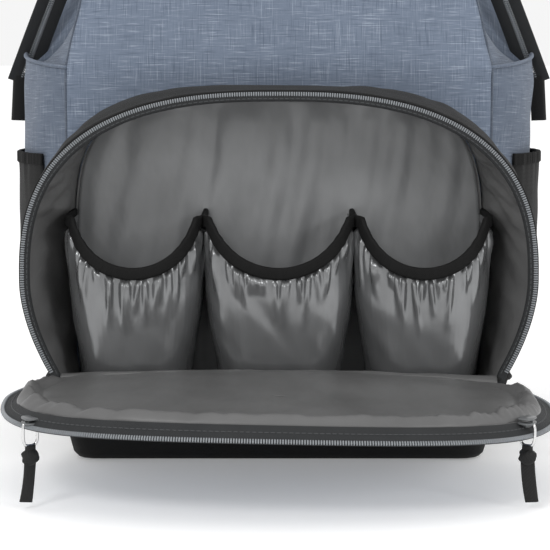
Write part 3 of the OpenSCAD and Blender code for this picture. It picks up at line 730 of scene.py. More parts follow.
def make_pocket(name, seed):
    low, high = corners("bottle_pocket_" + name)
    centre = (low[0] + high[0]) / 2
    half = (high[0] - low[0]) / 2
    plan = pocket_plan(0.8 * MM, half, 1.2 * MM)
    run = np.arange(len(plan)) * 0.8 * MM
    way = unit_rows(np.gradient(plan, axis=0))
    out = np.stack([-way[:, 1], way[:, 0]], axis=1)
    if out[len(out) // 2, 1] > 0:
        out = -out
    top = scoop(plan[:, 0], half) - BINDING_H * 0.45
    rows = []
    slow = ripple(run, 0.03, seed + 50, 0.06, 0.02, 5)
    rng = np.random.default_rng(seed + 7)
    places = np.arange(4 * MM, run[-1] - 3 * MM, 5.2 * MM)
    places = places + rng.uniform(-1.6 * MM, 1.6 * MM, len(places))
    widths = rng.uniform(1.1 * MM, 1.9 * MM, len(places))
    heights = rng.uniform(2.2 * MM, 4.2 * MM, len(places))
    lengths = rng.uniform(16 * MM, 46 * MM, len(places))
    slants = rng.uniform(-0.12, 0.12, len(places)) - 0.1 * (places / run[-1] - 0.5)
    for s in np.linspace(0, 1, 84) ** 1.35:
        z = mix(top, POCKET_FLOOR + 1 * MM, s)
        drop = top - z
        gather = np.zeros(len(run))
        for place, width, height, length, slant in zip(places, widths, heights, lengths, slants):
            fade = smoothstep(length, 0.25 * length, drop)
            width = width * (0.75 + 0.8 * drop / length)
            gather += height * fade * np.exp(-((run - place - slant * drop) / width) ** 2)
        gather = gather * smoothstep(4.2 * MM, 8.5 * MM, drop)
        taper = mix(1 - 8 * MM / half, 1.0, smoothstep(30 * MM, 118 * MM, z))
        sway = ripple(run + 0.02 * np.sin(z * 40), z * 0.5, seed + 90, 0.05, 0.014, 9)
        folds = 0.8 * MM * slow * np.exp(-drop / (60 * MM)) + 0.36 * MM * sway * smoothstep(0, 20 * MM, drop)
        swell = 1.6 * MM * np.sin(np.pi * np.clip(drop / (95 * MM), 0, 1))
        away = np.minimum(gather + folds + swell, 6.5 * MM)
        x = centre + plan[:, 0] * taper + out[:, 0] * away
        depth = (plan[:, 1] - POCKET_BACK) * mix(0.93, 1.0, smoothstep(20 * MM, 110 * MM, z))
        y = POCKET_BACK + depth + out[:, 1] * away
        rows.append(xyz(x, np.minimum(y, POCKET_BACK - 0.4 * MM), z))
    pocket = cloth("pocket_foil_" + name, rows, FOIL, 0.7 * MM, offset=0)
    finish_piece(pocket, "bag", ["bottle_pocket_" + name])

    edge = pocket_plan(1.0 * MM, half, -1.0 * MM)
    z = scoop(edge[:, 0], half) - BINDING_H / 2
    squeeze = 0.12 * MM * np.sin(2 * math.pi * np.arange(len(edge)) / 5.3)
    away = unit_rows(np.gradient(edge, axis=0))
    away = np.stack([away[:, 1], -away[:, 0]], axis=1)
    line = xyz(centre + edge[:, 0] + away[:, 0] * squeeze, edge[:, 1] + away[:, 1] * squeeze, z)
    band_piece = sweep("pocket_elastic_" + name, line, band(BINDING_H, 3.4 * MM, 1.5 * MM), (0, 0, 1), BINDING)
    finish_piece(band_piece, "bag", ["pocket_binding_" + name])


# ---------------------------------------------------------------- bag shell
BASE_CORNER = 13 * MM


def base_plan(half, y0, y1, z=0.0):
    """Level outline of the base at a height."""
    x, y = rounded_rectangle(half, (y1 - y0) / 2, BASE_CORNER, 9).T
    return resample(xyz(x, (y0 + y1) / 2 + y, z), 5 * MM, closed=True)


def make_base():
    foot, head = 132 * MM, tub_high[0]
    count = 150
    rows = []
    bottom = ((0.3, -14), (0.0, -6), (0.6, -1.6))
    wall = [(z, 0) for z in (3.5, 12, 24, 36, 46, 51, TUB_TOP / MM)]
    for z, spread in (*bottom, *wall):
        half = mix(foot, head, min(z * MM / TUB_TOP, 1)) + spread * MM
        ring = base_plan(half, Y_FRONT - spread * MM, Y_BACK + spread * MM)
        loop = np.vstack([ring, ring[:1]])
        ring = resample(loop, np.sum(np.linalg.norm(np.diff(loop, axis=0), axis=1)) / count)[:count]
        slack = 0.8 * MM * ripple(np.arange(count) * 5 * MM, z * MM, 21, 0.12, 0.02)
        slack = slack * smoothstep(2, 14, z) * smoothstep(TUB_TOP / MM, 40, z)
        out = unit_rows(ring[:, :2])
        ring[:, :2] += out * (slack - 0.8 * MM * smoothstep(2, 14, z))[:, None]
        rows.append(np.column_stack([ring[:, :2], np.full(count, z * MM)]))
    tub = cloth("base_tub_cloth", rows, BLACK, 1.6 * MM, close=True, offset=-1)
    finish_piece(tub, "bag")
    floor_x = np.linspace(-124 * MM, 124 * MM, 12)
    floor_grid = [xyz(floor_x, y, 1.2 * MM) for y in np.linspace(Y_FRONT + 8 * MM, Y_BACK - 8 * MM, 12)]
    underside = cloth("base_underside", floor_grid, BLACK, 1.2 * MM, offset=0)
    finish_piece(underside, "bag", ["base_tub"])
    rim = base_plan(head - 0.6 * MM, Y_FRONT + 0.6 * MM, Y_BACK - 0.6 * MM, TUB_TOP - 1.2 * MM)
    finish_piece(sweep("base_top_piping", rim, disc(1.5 * MM), (0, 0, 1), BLACK, closed=True), "bag")
    dress("base_board", BOARD)
    dress("compartment_floor_pad", SATIN_CAD)


front_lean = math.atan2(Y_MID - 13 * MM - FRONT_HINGE[1], MOUTH_H - MM - FRONT_HINGE[2])
back_lean = math.atan2(BACK_HINGE[1] - Y_MID - 13 * MM, MOUTH_H - MM - BACK_HINGE[2])
COVER_LENGTH = {"front": 171 * MM, "back": 91 * MM}  # above the hinge
MOUTH = {  # hinge, lean, and the way it leans
    "front": (FRONT_HINGE, front_lean, 1),
    "back": (BACK_HINGE, back_lean, -1),
}


def panel_profile(end, length, low):
    """Side view of a cover as rows (y, z, height along it): up to the hinge line, a soft bend, the mouth panel."""
    hinge, lean, sign = MOUTH[end]
    straight = [(hinge[1], z, z - hinge[2]) for z in np.linspace(low, hinge[2] - 8 * MM, 34)]
    bend = []
    for k in range(1, 8):
        t = k / 8
        a = lean * t
        z = hinge[2] - 8 * MM + 16 * MM * t * math.cos(a * 0.5)
        bend.append((hinge[1] + sign * 8 * MM * t * math.sin(a), z, (-8 + 16 * t) * MM))
    v = np.linspace(9 * MM, length, 26)
    upper = xyz(hinge[1] + sign * v * math.sin(lean), hinge[2] + v * math.cos(lean), v)
    return np.vstack([straight, bend, upper])


def cover_grid(profile, half_at, sign, stand, seed, pillow=2.0 * MM, columns=90, flat_below=0.0):
    """Cloth over a profile, full in the middle of its width and flat below a height."""
    t = np.linspace(-1, 1, columns)
    way = unit_rows(np.gradient(profile[:, :2], axis=0))
    out = np.stack([-sign * way[:, 1], sign * way[:, 0]], axis=1)
    rows = []
    for (y, z, v), o in zip(profile, out):
        half = half_at(v)
        slack = ripple(t * half, v, seed, 0.16, 0.03, 8)
        edge = smoothstep(1, 0.86, np.abs(t))
        full = smoothstep(flat_below - 15 * MM, flat_below + 25 * MM, z)
        pucker = ripple(t * half * 0.4, v, seed + 5, 0.03, 0.009, 6) * np.exp(-((np.abs(t) - 0.96) / 0.05) ** 2)
        soft = (pillow * (1 - t * t) + 0.9 * MM * slack) * edge + 0.9 * MM * pucker
        lift = stand + full * soft - 1.4 * MM * (1 - edge)
        rows.append(xyz(t * half, y + o[0] * lift, z + o[1] * lift))
    return rows


def make_front_cover():
    length = COVER_LENGTH["front"]
    profile = panel_profile("front", length, TUB_TOP - 8 * MM)

    def half_at(v):
        lower = mix(141 * MM, PANEL_HALF, smoothstep(-FRONT_HINGE[2] + TUB_TOP, -100 * MM, v))
        return float(lower if v < 0 else mix(PANEL_HALF, MOUTH_HALF, v / length))

    grid = cover_grid(profile, half_at, 1, 1.7 * MM, 31, flat_below=CROWN)
    cover = cloth("front_cover", grid, HEATHER, 2.6 * MM, swap=True)
    finish_piece(cover, None, ["front_panel", "mouth_front_panel"])
    bend_over(cover)
    liner = cover_grid(profile[profile[:, 2] > 4 * MM], lambda v: half_at(v) - 3 * MM, 1, -3.4 * MM, 33, 0)
    liner = cloth("mouth_front_liner", liner, MAIN_LINING, 0.6 * MM)
    finish_piece(liner, "mouth_front")
    for side in (-1, 1):
        edge = seam_down("front", side, grid)
        inset = edge - np.array([side * 5 * MM, 1.0 * MM, 0])
        inset = inset[(inset[:, 2] > CROWN + 6 * MM)]
        sewn = stitches("front_stitches_" + side_name(side), inset, THREAD, (0, -1, 0.2))
        finish_piece(sewn, None)
        bend_over(sewn)


def seam_down(end, side, grid):
    """Piping down one side of a cover. Returns the cover's edge there."""
    edge = np.array([row[-1 if side > 0 else 0] for row in grid])
    line = edge + np.array([side * 0.4 * MM, MOUTH[end][2] * MM, 0])
    seam = sweep(end + "_seam_" + side_name(side), resample(line, 3 * MM), disc(1.7 * MM), (1, 0, 0), HEATHER_SEAM)
    finish_piece(seam, None)
    bend_over(seam)
    return edge


def bend_over(piece):
    """Bakes a piece's placement into its mesh, for a piece that spans a mouth panel's hinge."""
    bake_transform(piece)


def make_back_cover():
    length = COVER_LENGTH["back"]
    profile = panel_profile("back", length, TUB_TOP - 6 * MM)
    lower = profile[profile[:, 2] < -6 * MM]
    upper = profile[profile[:, 2] > -34 * MM]

    def half_at(v):
        return float(PANEL_HALF if v < 0 else mix(PANEL_HALF - 2 * MM, MOUTH_HALF, v / length))

    grid = cover_grid(lower, half_at, -1, 1.2 * MM, 41, 3 * MM)
    cover = cloth("back_cover", grid, BLACK, 2.4 * MM)
    finish_piece(cover, "bag", ["back_panel"])
    grid = cover_grid(upper, half_at, -1, 1.9 * MM, 41, 3 * MM)
    cover = cloth("back_upper_cover", grid, HEATHER, 2.4 * MM)
    finish_piece(cover, None, ["mouth_back_panel"])
    bend_over(cover)
    liner = cover_grid(upper[upper[:, 2] > 5 * MM], lambda v: half_at(v) - 3 * MM, -1, -3.4 * MM, 45, 0)
    liner = cloth("mouth_back_liner", liner, MAIN_LINING, 0.6 * MM)
    finish_piece(liner, "mouth_back")
    for side in (-1, 1):
        seam_down("back", side, grid)
    make_back_pads()


def quilted_pad(name, centre_x, centre_z, half_w, half_h, seed):
    """A stitched comfort pad of spacer mesh on the back."""
    u = np.linspace(-1, 1, 40)
    v = np.linspace(-1, 1, 60)
    uu, vv = np.meshgrid(u, v)
    square = 5.0
    inside = 1 - (np.abs(uu) ** square + np.abs(vv) ** square) ** (1 / square)
    rise = np.clip(inside / 0.2, 0, 1) ** 0.5
    channels = 1 - 0.55 * np.exp(-((np.abs(((vv * half_h / (26 * MM)) % 1) - 0.5) / 0.07) ** 2))
    lift = 3.4 * MM * rise * channels + 0.3 * MM * ripple(uu * half_w, vv * half_h, seed, 0.05, 0.02)
    x = centre_x + uu * half_w * (1 - 0.05 * vv ** 2)
    pad = cloth(name, xyz(x, Y_BACK + 2.2 * MM + lift, centre_z + vv * half_h), MESH_PAD, 1.0 * MM)
    return finish_piece(pad, "bag")


def make_back_pads():
    for name, x, z, half_w, half_h, seed in (
        ("left", -66, 205, 46, 92, 51),
        ("right", 66, 205, 46, 92, 52),
        ("lumbar", 0, 82, 92, 20, 53),
    ):
        quilted_pad("back_pad_" + name, x * MM, z * MM, half_w * MM, half_h * MM, seed)


def side_top(y):
    """Height of the side's top edge: level at the front, rising towards the back."""
    low, middle, high = 250 * MM, 259 * MM, 332 * MM
    front = np.clip((y - Y_PANEL) / (Y_MID - Y_PANEL), 0, 1)
    back = np.clip((y - Y_MID) / (Y_BACK - Y_MID), 0, 1)
    return mix(low, middle, front) + (high - middle) * back


SIDE_SLACK = 8 * MM
SIDE_TUCK = 17 * MM


def tuck_at(z):
    """How far the side is drawn in near the base."""
    return SIDE_TUCK * smoothstep(110 * MM, 50 * MM, z)


def side_plan(stand, columns=46):
    """Bulging side in plan, with the cloth's slack, from the front panel's edge to the back panel's."""
    chord = (Y_BACK - Y_PANEL) / 2
    widest = BULGE_HALF + SIDE_SLACK
    bulge = widest - PANEL_HALF
    r = (chord ** 2 + bulge ** 2) / (2 * bulge)
    a = np.linspace(-1, 1, columns) * math.asin(chord / r)
    return np.stack([widest - r + (r + stand) * np.cos(a), Y_MID + (r + stand) * np.sin(a)], axis=1)


def make_side(side):
    name = side_name(side)
    plan = side_plan(-0.6 * MM)
    top = side_top(plan[:, 1])
    t = np.linspace(0, 1, 60)
    rows = []
    run = np.arange(len(plan)) * 3.2 * MM
    for k in t:
        z = mix(TUB_TOP - 4 * MM, top, k)
        slack = ripple(run, z, 61 + side, 0.13, 0.03, 9) * smoothstep(0, 0.12, k) * smoothstep(1, 0.9, k)
        tuck = tuck_at(z) * np.cos(np.linspace(-1, 1, len(plan)) * math.pi / 2)
        x = plan[:, 0] + slack * 1.6 * MM - tuck
        rows.append(xyz(side * x, plan[:, 1], z))
    cover = cloth("side_cover_" + name, rows, HEATHER_SHADED, 1.6 * MM, swap=side < 0)
    finish_piece(cover, "bag", ["side_panels"])
    lining_plan = side_plan(-3.6 * MM)
    rows = []
    for z in np.linspace(TUB_TOP, 246 * MM, 30):
        slack = ripple(run, z, 71 + side, 0.09, 0.02, 9)
        x = lining_plan[:, 0] - 1.2 * MM * (1 + slack) - tuck_at(z)
        rows.append(xyz(side * x, lining_plan[:, 1], z))
    lining = cloth("side_lining_" + name, rows, MAIN_LINING, 0.5 * MM, swap=side > 0)
    finish_piece(lining, "bag", ["main_lining"])
    hem = np.array([[side * (p[0] + 0.2 * MM), p[1], side_top(p[1])] for p in plan])
    hem = hem[hem[:, 1] < Y_MID]
    hem = sweep("side_hem_" + name, resample(hem, 3 * MM), disc(1.3 * MM), (0, 0, 1), HEATHER_SHADED)
    finish_piece(hem, "bag")
    make_side_pocket(side, name)


def make_side_pocket(side, name):
    low, high = corners("side_pocket_" + name)
    rows = []
    y = np.linspace(low[1], high[1], 60)
    t = (y - low[1]) / (high[1] - low[1])
    base_plan = side_plan(0, 120)
    wall = np.interp(y, base_plan[:, 1], base_plan[:, 0])
    pleats = ripple(y, 0, 81 + side, 0.012, 0.005, 8)
    for z in np.linspace(low[2], high[2] + 3 * MM, 44):
        grow = smoothstep(low[2], low[2] + 34 * MM, z)
        out = (1.2 + 4.2 * np.sin(np.pi * np.clip(t, 0, 1)) ** 0.45 * grow) * MM
        gather = np.exp(-(high[2] + 3 * MM - z) / (14 * MM))
        tuck = tuck_at(z) * np.cos((t - 0.5) * 2.4)
        x = wall + out - tuck + 0.9 * MM * gather * pleats + 0.5 * MM * ripple(y, z, 85 + side, 0.08, 0.02)
        rows.append(xyz(side * x, y, z))
    pocket = cloth("side_pocket_cloth_" + name, rows, BLACK, 1.2 * MM, swap=side < 0)
    finish_piece(pocket, "bag", ["side_pocket_" + name])
    edge = rows[-1] + np.array([side * -0.2 * MM, 0, 1.5 * MM])
    line = resample(edge, 1.2 * MM)
    line[:, 0] += side * 0.3 * MM * np.sin(2 * math.pi * np.arange(len(line)) / 3.1)
    elastic = sweep("side_pocket_elastic_" + name, line, band(8 * MM, 2.2 * MM), (0, 0, 1), BINDING)
    finish_piece(elastic, "bag", ["side_pocket_bindings"])


# ---------------------------------------------------------------- mouth
GUSSET_CREASE = 62 * MM


def curve3(p, q, r, t):
    """Quadratic curve from p to r, pulled towards q."""
    t = np.asarray(t)[:, None]
    return (1 - t) ** 2 * np.array(p) + 2 * t * (1 - t) * np.array(q) + t ** 2 * np.array(r)


def make_gusset(side, end):
    """One half of the fold-in corner: end is front or back."""
    name = end + "_" + side_name(side)
    front = end == "front"
    plan = side_plan(-2.6 * MM, 121)
    keep = plan[plan[:, 1] <= Y_MID] if front else plan[plan[:, 1] >= Y_MID][::-1]
    count = 34
    pick = np.linspace(0, len(keep) - 1, count)
    base_x, base_y = (np.interp(pick, np.arange(len(keep)), column) for column in keep.T)
    base = xyz(base_x, base_y, side_top(base_y) - 10 * MM)
    t = np.linspace(0, 1, 40)
    hinge, lean, sign = MOUTH[end]
    length = COVER_LENGTH[end] - 1 * MM
    edge_low = base[0] + np.array([-2 * MM, 0, 0])
    edge_top = np.array([
        MOUTH_HALF - 2 * MM,
        hinge[1] + sign * (length * math.sin(lean)),
        hinge[2] + length * math.cos(lean),
    ])
    hinge_side = np.array([PANEL_HALF - 2.5 * MM, hinge[1] + sign * 1 * MM, hinge[2] + 3 * MM])
    up = t[:, None]
    edge = np.where(up < 0.1, mix(edge_low, hinge_side, up / 0.1), mix(hinge_side, edge_top, (up - 0.1) / 0.9))
    crease_foot = base[-1]
    gap = (-0.7 if front else 0.7) * MM
    crease_top = np.array([GUSSET_CREASE, Y_MID + gap, MOUTH_H - 9 * MM])
    crease = curve3(crease_foot + np.array([0, gap, 0]), (BULGE_HALF - 62 * MM, Y_MID + gap, 270 * MM), crease_top, t)
    top = mix(edge_top, crease_top, np.linspace(0, 1, count)[:, None])
    s = np.linspace(0, 1, count)[None, :, None]
    tt = t[:, None, None]
    coons = ((1 - s) * edge[:, None] + s * crease[:, None] + (1 - tt) * base[None] + tt * top[None]
             - (1 - s) * (1 - tt) * edge[0] - s * (1 - tt) * crease[0] - (1 - s) * tt * edge[-1] - s * tt * crease[-1])
    ss, t2 = np.meshgrid(np.linspace(0, 1, count), t)
    slack = np.sin(math.pi * ss) * np.sin(math.pi * t2)
    wave = ripple(ss * 0.07, t2 * 0.17, 91 + (2 if front else 0) + side, 0.1, 0.02, 8)
    coons[:, :, 0] -= slack * 5 * MM + slack * wave * 2.4 * MM
    coons[:, :, 0] *= side
    piece = cloth("mouth_gusset_" + name, coons, HEATHER_SHADED, 0.9 * MM, offset=0)
    finish_piece(piece, None, ["mouth_gusset_" + side_name(side)])
    start = crease[2].copy()
    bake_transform(piece)


def make_mouth_zip():
    tapes = {
        "front": (corners("mouth_front_zip_tape"), -1),
        "back": (corners("mouth_back_zip_tape"), 1),
    }
    for end, ((low, high), side) in tapes.items():
        body = "mouth_" + end
        x = np.linspace(low[0], high[0], 70)
        middle = (low[1] + high[1]) / 2
        centre = xyz(x, middle, (low[2] + high[2]) / 2 - 0.8 * MM * np.abs(np.sin(x * 20)))
        tape = sweep("mouth_tape_" + end, centre, band(high[1] - low[1], 1.0 * MM), (0, 1, 0), TAPE)
        finish_piece(tape, body, ["mouth_" + end + "_zip_tape"])
        teeth_low, teeth_high = corners("mouth_" + end + "_zip_teeth")
        line = xyz(np.array([low[0], high[0]]), (teeth_low[1] + teeth_high[1]) / 2, teeth_high[2] - 0.8 * MM)
        chain = zip_chain("mouth_teeth_" + end, line, (0, 1, 0), TEETH, size=(2.0, 0.95, 1.4))
        finish_piece(chain, body, ["mouth_" + end + "_zip_teeth"])
        outer = low[1] if side < 0 else high[1]
        roll = xyz(np.array([low[0], high[0]]), outer, low[2] - 1.6 * MM)
        hem = sweep("mouth_hem_" + end, resample(roll, 4 * MM), disc(2.6 * MM, 12), (0, 1, 0), HEATHER)
        finish_piece(hem, body)
        ends = np.array([low[0] + 2 * MM, high[0] - 2 * MM])
        sew = xyz(ends, mix(outer, middle, 0.45), high[2] + 0.1 * MM)
        stitch_on("mouth_stitches_" + end, sew, (0, 0, 1), body)


def make_zip_tail(side):
    name = side_name(side)
    low, high = corners("zip_tail_" + name)
    inner, outer = (low[0], high[0]) if side > 0 else (high[0], low[0])
    t = np.linspace(0, 1, 50)
    bend = (mix(outer, inner, 0.46), Y_MID, mix(low[2], high[2], 0.47))
    base = curve3((outer, Y_MID, low[2]), bend, (inner - side * 3 * MM, Y_MID, high[2]), t)
    turned = math.radians(62) * smoothstep(0.95, 0.35, t)
    wide = xyz(-side * np.sin(turned), np.cos(turned), 0.0)
    for end, sign in (("front", -1), ("back", 1)):
        line = base + wide * sign * 6.0 * MM
        strip = sweep("zip_tail_tape_" + end + "_" + name, line, band(9.6 * MM, 1.0 * MM), wide, TAPE)
        finish_piece(strip, None, ["zip_tail_" + name])
        line = base + wide * sign * 1.1 * MM
        chain = zip_chain("zip_tail_teeth_" + end + "_" + name, line, wide, TEETH, size=(1.9, 0.95, 1.6))
        finish_piece(chain, None)
        for piece in (strip, chain):
            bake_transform(piece)
    tab_low, tab_high = corners("zip_end_tabs")
    foot = np.array([side * tab_high[0], Y_MID, tab_low[2]])
    head = np.array([outer + side * 0.6 * MM, Y_MID, low[2] + 6 * MM])
    path = resample(np.array([foot + np.array([-side * 1.2 * MM, 0, 0]), head]), 2 * MM)
    webbing_on("zip_end_tab_" + name, path, band(11 * MM, 3.0 * MM), wide[0], "bag", ["zip_end_tabs"])


# ---------------------------------------------------------------- flap
FLAP_LENGTH = CROWN - HINGE_H
PANEL_INSET = 12 * MM


def flap_place(x, d, up):
    """Point of the flap from its width x, its distance d from the hinge line and its height up, with its own sag."""
    out = np.clip(d / FLAP_LENGTH, 0, 1)
    side = x / ARCH_HALF
    sag = 1.2 * out - 5.0 * np.abs(side) ** 2.4 - 3.6 * side * (0.6 + 0.4 * out)
    dome = 4.6 * smoothstep(-12 * MM, 16 * MM, d) * smoothstep(150 * MM, 30 * MM, d) * (1 - side ** 2)
    spread = 1 + 0.024 * smoothstep(0, 60 * MM, d)
    return np.stack([x * spread, Y_FRONT - d, HINGE_H - MM + up + (sag + dome) * MM], axis=-1)


def flap_ring(inset):
    """Outline of the flap, inset, from its right foot round to its left foot, as rows of (x, d)."""
    points = arch(0, inset)
    points = points[points[:, 1] >= HINGE_H + 8 * MM]
    return np.stack([points[:, 0], points[:, 1] - HINGE_H], axis=1)


def flap_line(inset):
    """Even points along the flap's outline, inset, as rows of (x, d)."""
    ring = flap_ring(inset)
    return resample(np.column_stack([ring, np.zeros(len(ring))]), 3 * MM)[:, :2]


def flap_closed_ring(inset):
    front = flap_ring(inset)
    gap = 6 * MM + (inset - PANEL_INSET) * 0.8
    front[:, 1] = np.maximum(front[:, 1], gap)
    base = np.linspace(front[-1, 0], front[0, 0], 72)[1:-1]
    return np.vstack([front, np.column_stack([base, np.full(70, gap)])])


FLAP_RIM_INSETS = np.array([12, 12.3, 13, 14, 15.5, 17, 18.5, 20, 22, 24, 27, 30, 34]) * MM


def flap_surface(up_at):
    """Rings over the flap's whole outline, from its edge inwards, then shrinking to its middle."""
    rings = [flap_closed_ring(inset) for inset in FLAP_RIM_INSETS]
    depths = list(FLAP_RIM_INSETS)
    last, last_depth = rings[-1], depths[-1]
    middle = np.array([0, FLAP_LENGTH / 2])
    for shrink in np.linspace(0, 1, 24)[1:]:
        rings.append(mix(last, middle, min(shrink, 0.9995)))
        depths.append(last_depth + shrink * 60 * MM)
    return [flap_place(x, d, up_at(x, d, inset)) for (x, d), inset in zip((ring.T for ring in rings), depths)]


def planar_uvs(obj):
    layer = obj.data.uv_layers.active
    index = np.zeros(len(obj.data.loops), dtype=np.int32)
    obj.data.loops.foreach_get("vertex_index", index)
    co = np.zeros(len(obj.data.vertices) * 3)
    obj.data.vertices.foreach_get("co", co)
    layer.data.foreach_set("uv", co.reshape(-1, 3)[index][:, :2].ravel())


def make_flap():
    def lining_height(x, d, inset):
        e = (inset - PANEL_INSET) / MM
        near_hinge = smoothstep(6 * MM, 46 * MM, d)
        bulge = math.sin(math.pi * min(e / 12, 1)) ** 0.8
        roll = 5.4 * bulge if e < 6 else mix(0.6, 5.4, bulge)
        around = np.arctan2(d - 80 * MM, x)
        corner = np.exp(-((np.abs(np.abs(x) - 135 * MM)) / (34 * MM)) ** 2)
        wrinkle = ripple(around * 0.15 + e * 0.0006, 0, 101, 0.026, 0.006, 8) * (0.6 + 2.0 * corner)
        wrinkle = wrinkle * math.exp(-abs(e - 6) / 8)
        soft = ripple(x, d, 103, 0.12, 0.035, 8) * 0.8 * smoothstep(2, 20, e)
        return (roll * near_hinge * (1 + 0.12 * wrinkle) + 0.62 * wrinkle + soft - 1.6 * (e < 0.2)) * MM

    def shell_height(x, d, inset):
        e = (inset - PANEL_INSET) / MM
        round_under = -9.2 * math.sqrt(max(1 - (1 - min(e / 12, 1)) ** 2, 0)) - 0.6
        return (round_under + 0.5 * ripple(x, d, 105, 0.1, 0.03)) * MM * np.ones_like(x)

    lining = cloth("flap_lining_cloth", flap_surface(lining_height), SATIN_FLAP, 0.8 * MM, close=True, offset=0)
    planar_uvs(lining)
    finish_piece(lining, "flap", ["flap_lining"])
    shell = cloth("flap_outer_cloth", flap_surface(shell_height), HEATHER, 1.2 * MM, close=True, offset=0, swap=True)
    planar_uvs(shell)
    finish_piece(shell, "flap", ["flap_shell", "flap_foam"])

    ring = flap_line(7.4 * MM)
    droop = smoothstep(30 * MM, 150 * MM, ring[:, 1])  # of the free tape, most at its front edge
    centre = flap_place(ring[:, 0], ring[:, 1], -1.6 * MM - 2.6 * MM * droop)
    way = tangents(centre)
    plane_out = unit_rows(xyz(way[:, 1], -way[:, 0], 0.0))
    if plane_out[len(ring) // 2, 1] > 0:
        plane_out = -plane_out
    tilt = np.radians(14 + 34 * droop)[:, None]
    side = plane_out * np.cos(tilt) - np.array([0, 0, 1.0]) * np.sin(tilt)
    tape = sweep("flap_tape", centre, band(12 * MM, 0.9 * MM), side, TAPE)
    finish_piece(tape, "flap", ["flap_zip_tape"])
    up = np.cross(way, side)
    up *= np.sign(up[:, 2:3])
    teeth_line = centre + side * 4.6 * MM + up * 0.8 * MM
    teeth = zip_chain("flap_teeth", teeth_line, side, TEETH)
    finish_piece(teeth, "flap", ["flap_zip_teeth"])
    sew_line = centre - side * 1.2 * MM + up * 0.6 * MM
    stitch_on("flap_tape_stitches", sew_line, up, "flap")
    gutter = flap_line(12.2 * MM)
    gutter = flap_place(gutter[:, 0], gutter[:, 1], -1.0 * MM)
    finish_piece(sweep("flap_inner_binding", gutter, disc(1.3 * MM, 8), (0, 0, 1), SATIN), "flap")
    make_flap_hinge()


def make_flap_hinge():
    """Soft roll of lining that turns over the hinge line from the bag to the flap."""
    x = np.linspace(-139 * MM, 139 * MM, 120)
    rows = []
    roll = ((1.8, -5.0), (1.2, -2.2), (0.4, -0.4), (-1.2, 0.5), (-3.2, 0.4), (-5.4, -0.3), (-7.6, -1.1))
    for k, (y, z) in enumerate(roll):
        bump = 0.5 * MM * ripple(x, 0.01 * k, 111, 0.05, 0.012)
        crown = (flap_place(x, 7 * MM * np.ones(len(x)), 0)[:, 2] - HINGE_H + 1 * MM) * k / 6
        rows.append(xyz(x, Y_FRONT + y * MM, HINGE_H + z * MM + bump + crown))
    strip = cloth("flap_hinge_roll", rows, SATIN_FLAP, 0.9 * MM, offset=0)
    finish_piece(strip, None, ["flap_hinge_strip"])
    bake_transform(strip)
    under = []
    for y, z in ((-0.6, -4.0), (-1.2, -7.4), (-3.2, -9.6), (-5.6, -10.4), (-8.0, -10.2)):
        drape = 0.3 * MM * ripple(x, y * 0.01, 113, 0.04, 0.012)
        under.append(xyz(x, Y_FRONT + y * MM, HINGE_H + z * MM + drape))
    under = cloth("flap_hinge_outer", under, BLACK, 0.9 * MM, offset=0)
    finish_piece(under, None)
    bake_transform(under)


def make_flap_pull(side):
    name = side_name(side)
    low, high = corners("flap_slider_" + name)
    centre = (low + high) / 2
    turn = side * math.radians(-36)
    across = np.array([math.cos(turn), math.sin(turn), 0])
    along = np.array([-math.sin(turn), math.cos(turn), 0])
    slider = slider_shape("flap_slider_cast_" + name, centre, across, along, -1, SLIDER)
    finish_piece(slider, "slider_" + name, ["flap_slider_" + name])
    bail_low, bail_high = corners("pull_bail_" + name)
    top = np.array([centre[0], centre[1], bail_high[2] - 0.9 * MM])
    drop = bail_high[2] - bail_low[2] - 1.8 * MM
    half = 4.6 * MM
    turn = np.linspace(0, 2 * math.pi, 48, endpoint=False)
    flat, tall = squared(turn, 0.6)
    half_drop = np.array([0, 0, drop / 2])
    loop = top - half_drop + flat[:, None] * half * across + tall[:, None] * half_drop
    bail = sweep("pull_bail_wire_" + name, loop, disc(1.0 * MM), along, NICKEL, closed=True)
    finish_piece(bail, "pull_" + name, ["pull_bail_" + name])
    strap_low = corners("pull_strap_" + name)[0]
    foot = np.array([centre[0], centre[1], strap_low[2]])
    head = top - np.array([0, 0, drop])
    z = np.linspace(0, 1, 40)
    lean = np.array([side * 1.0, -0.2, 0])
    path = mix(head + np.array([0, 0, 0.5 * MM]), foot, z[:, None]) + lean * (3 * MM * z ** 2)[:, None]
    wide = unit_rows(across + 0.25 * np.sin(z * 3)[:, None] * along)
    body = "pull_" + name
    webbing_on("pull_strap_tape_" + name, path[6:], band(8.4 * MM, 1.9 * MM), wide[6:], body, ["pull_strap_" + name])
    webbing_on("pull_strap_loop_" + name, path[:9], band(6.4 * MM, 3.6 * MM, 1.6 * MM), wide[:9], body)
    knot_at = path[8]
    rows = []
    for a in np.linspace(0, math.pi, 14):
        ring = []
        for b in np.linspace(0, 2 * math.pi, 22, endpoint=False):
            r = 1 + 0.1 * math.sin(3 * b + 5 * a) + 0.06 * math.sin(7 * a)
            ring.append(knot_at + across * 5.4 * MM * math.sin(a) * math.cos(b) * r
                        + along * 3.6 * MM * math.sin(a) * math.sin(b) * r
                        + np.array([0, 0, 5.2 * MM * math.cos(a)]))
        rows.append(ring)
    finish_piece(cloth("pull_knot_" + name, rows, WEBBING, close=True), "pull_" + name)


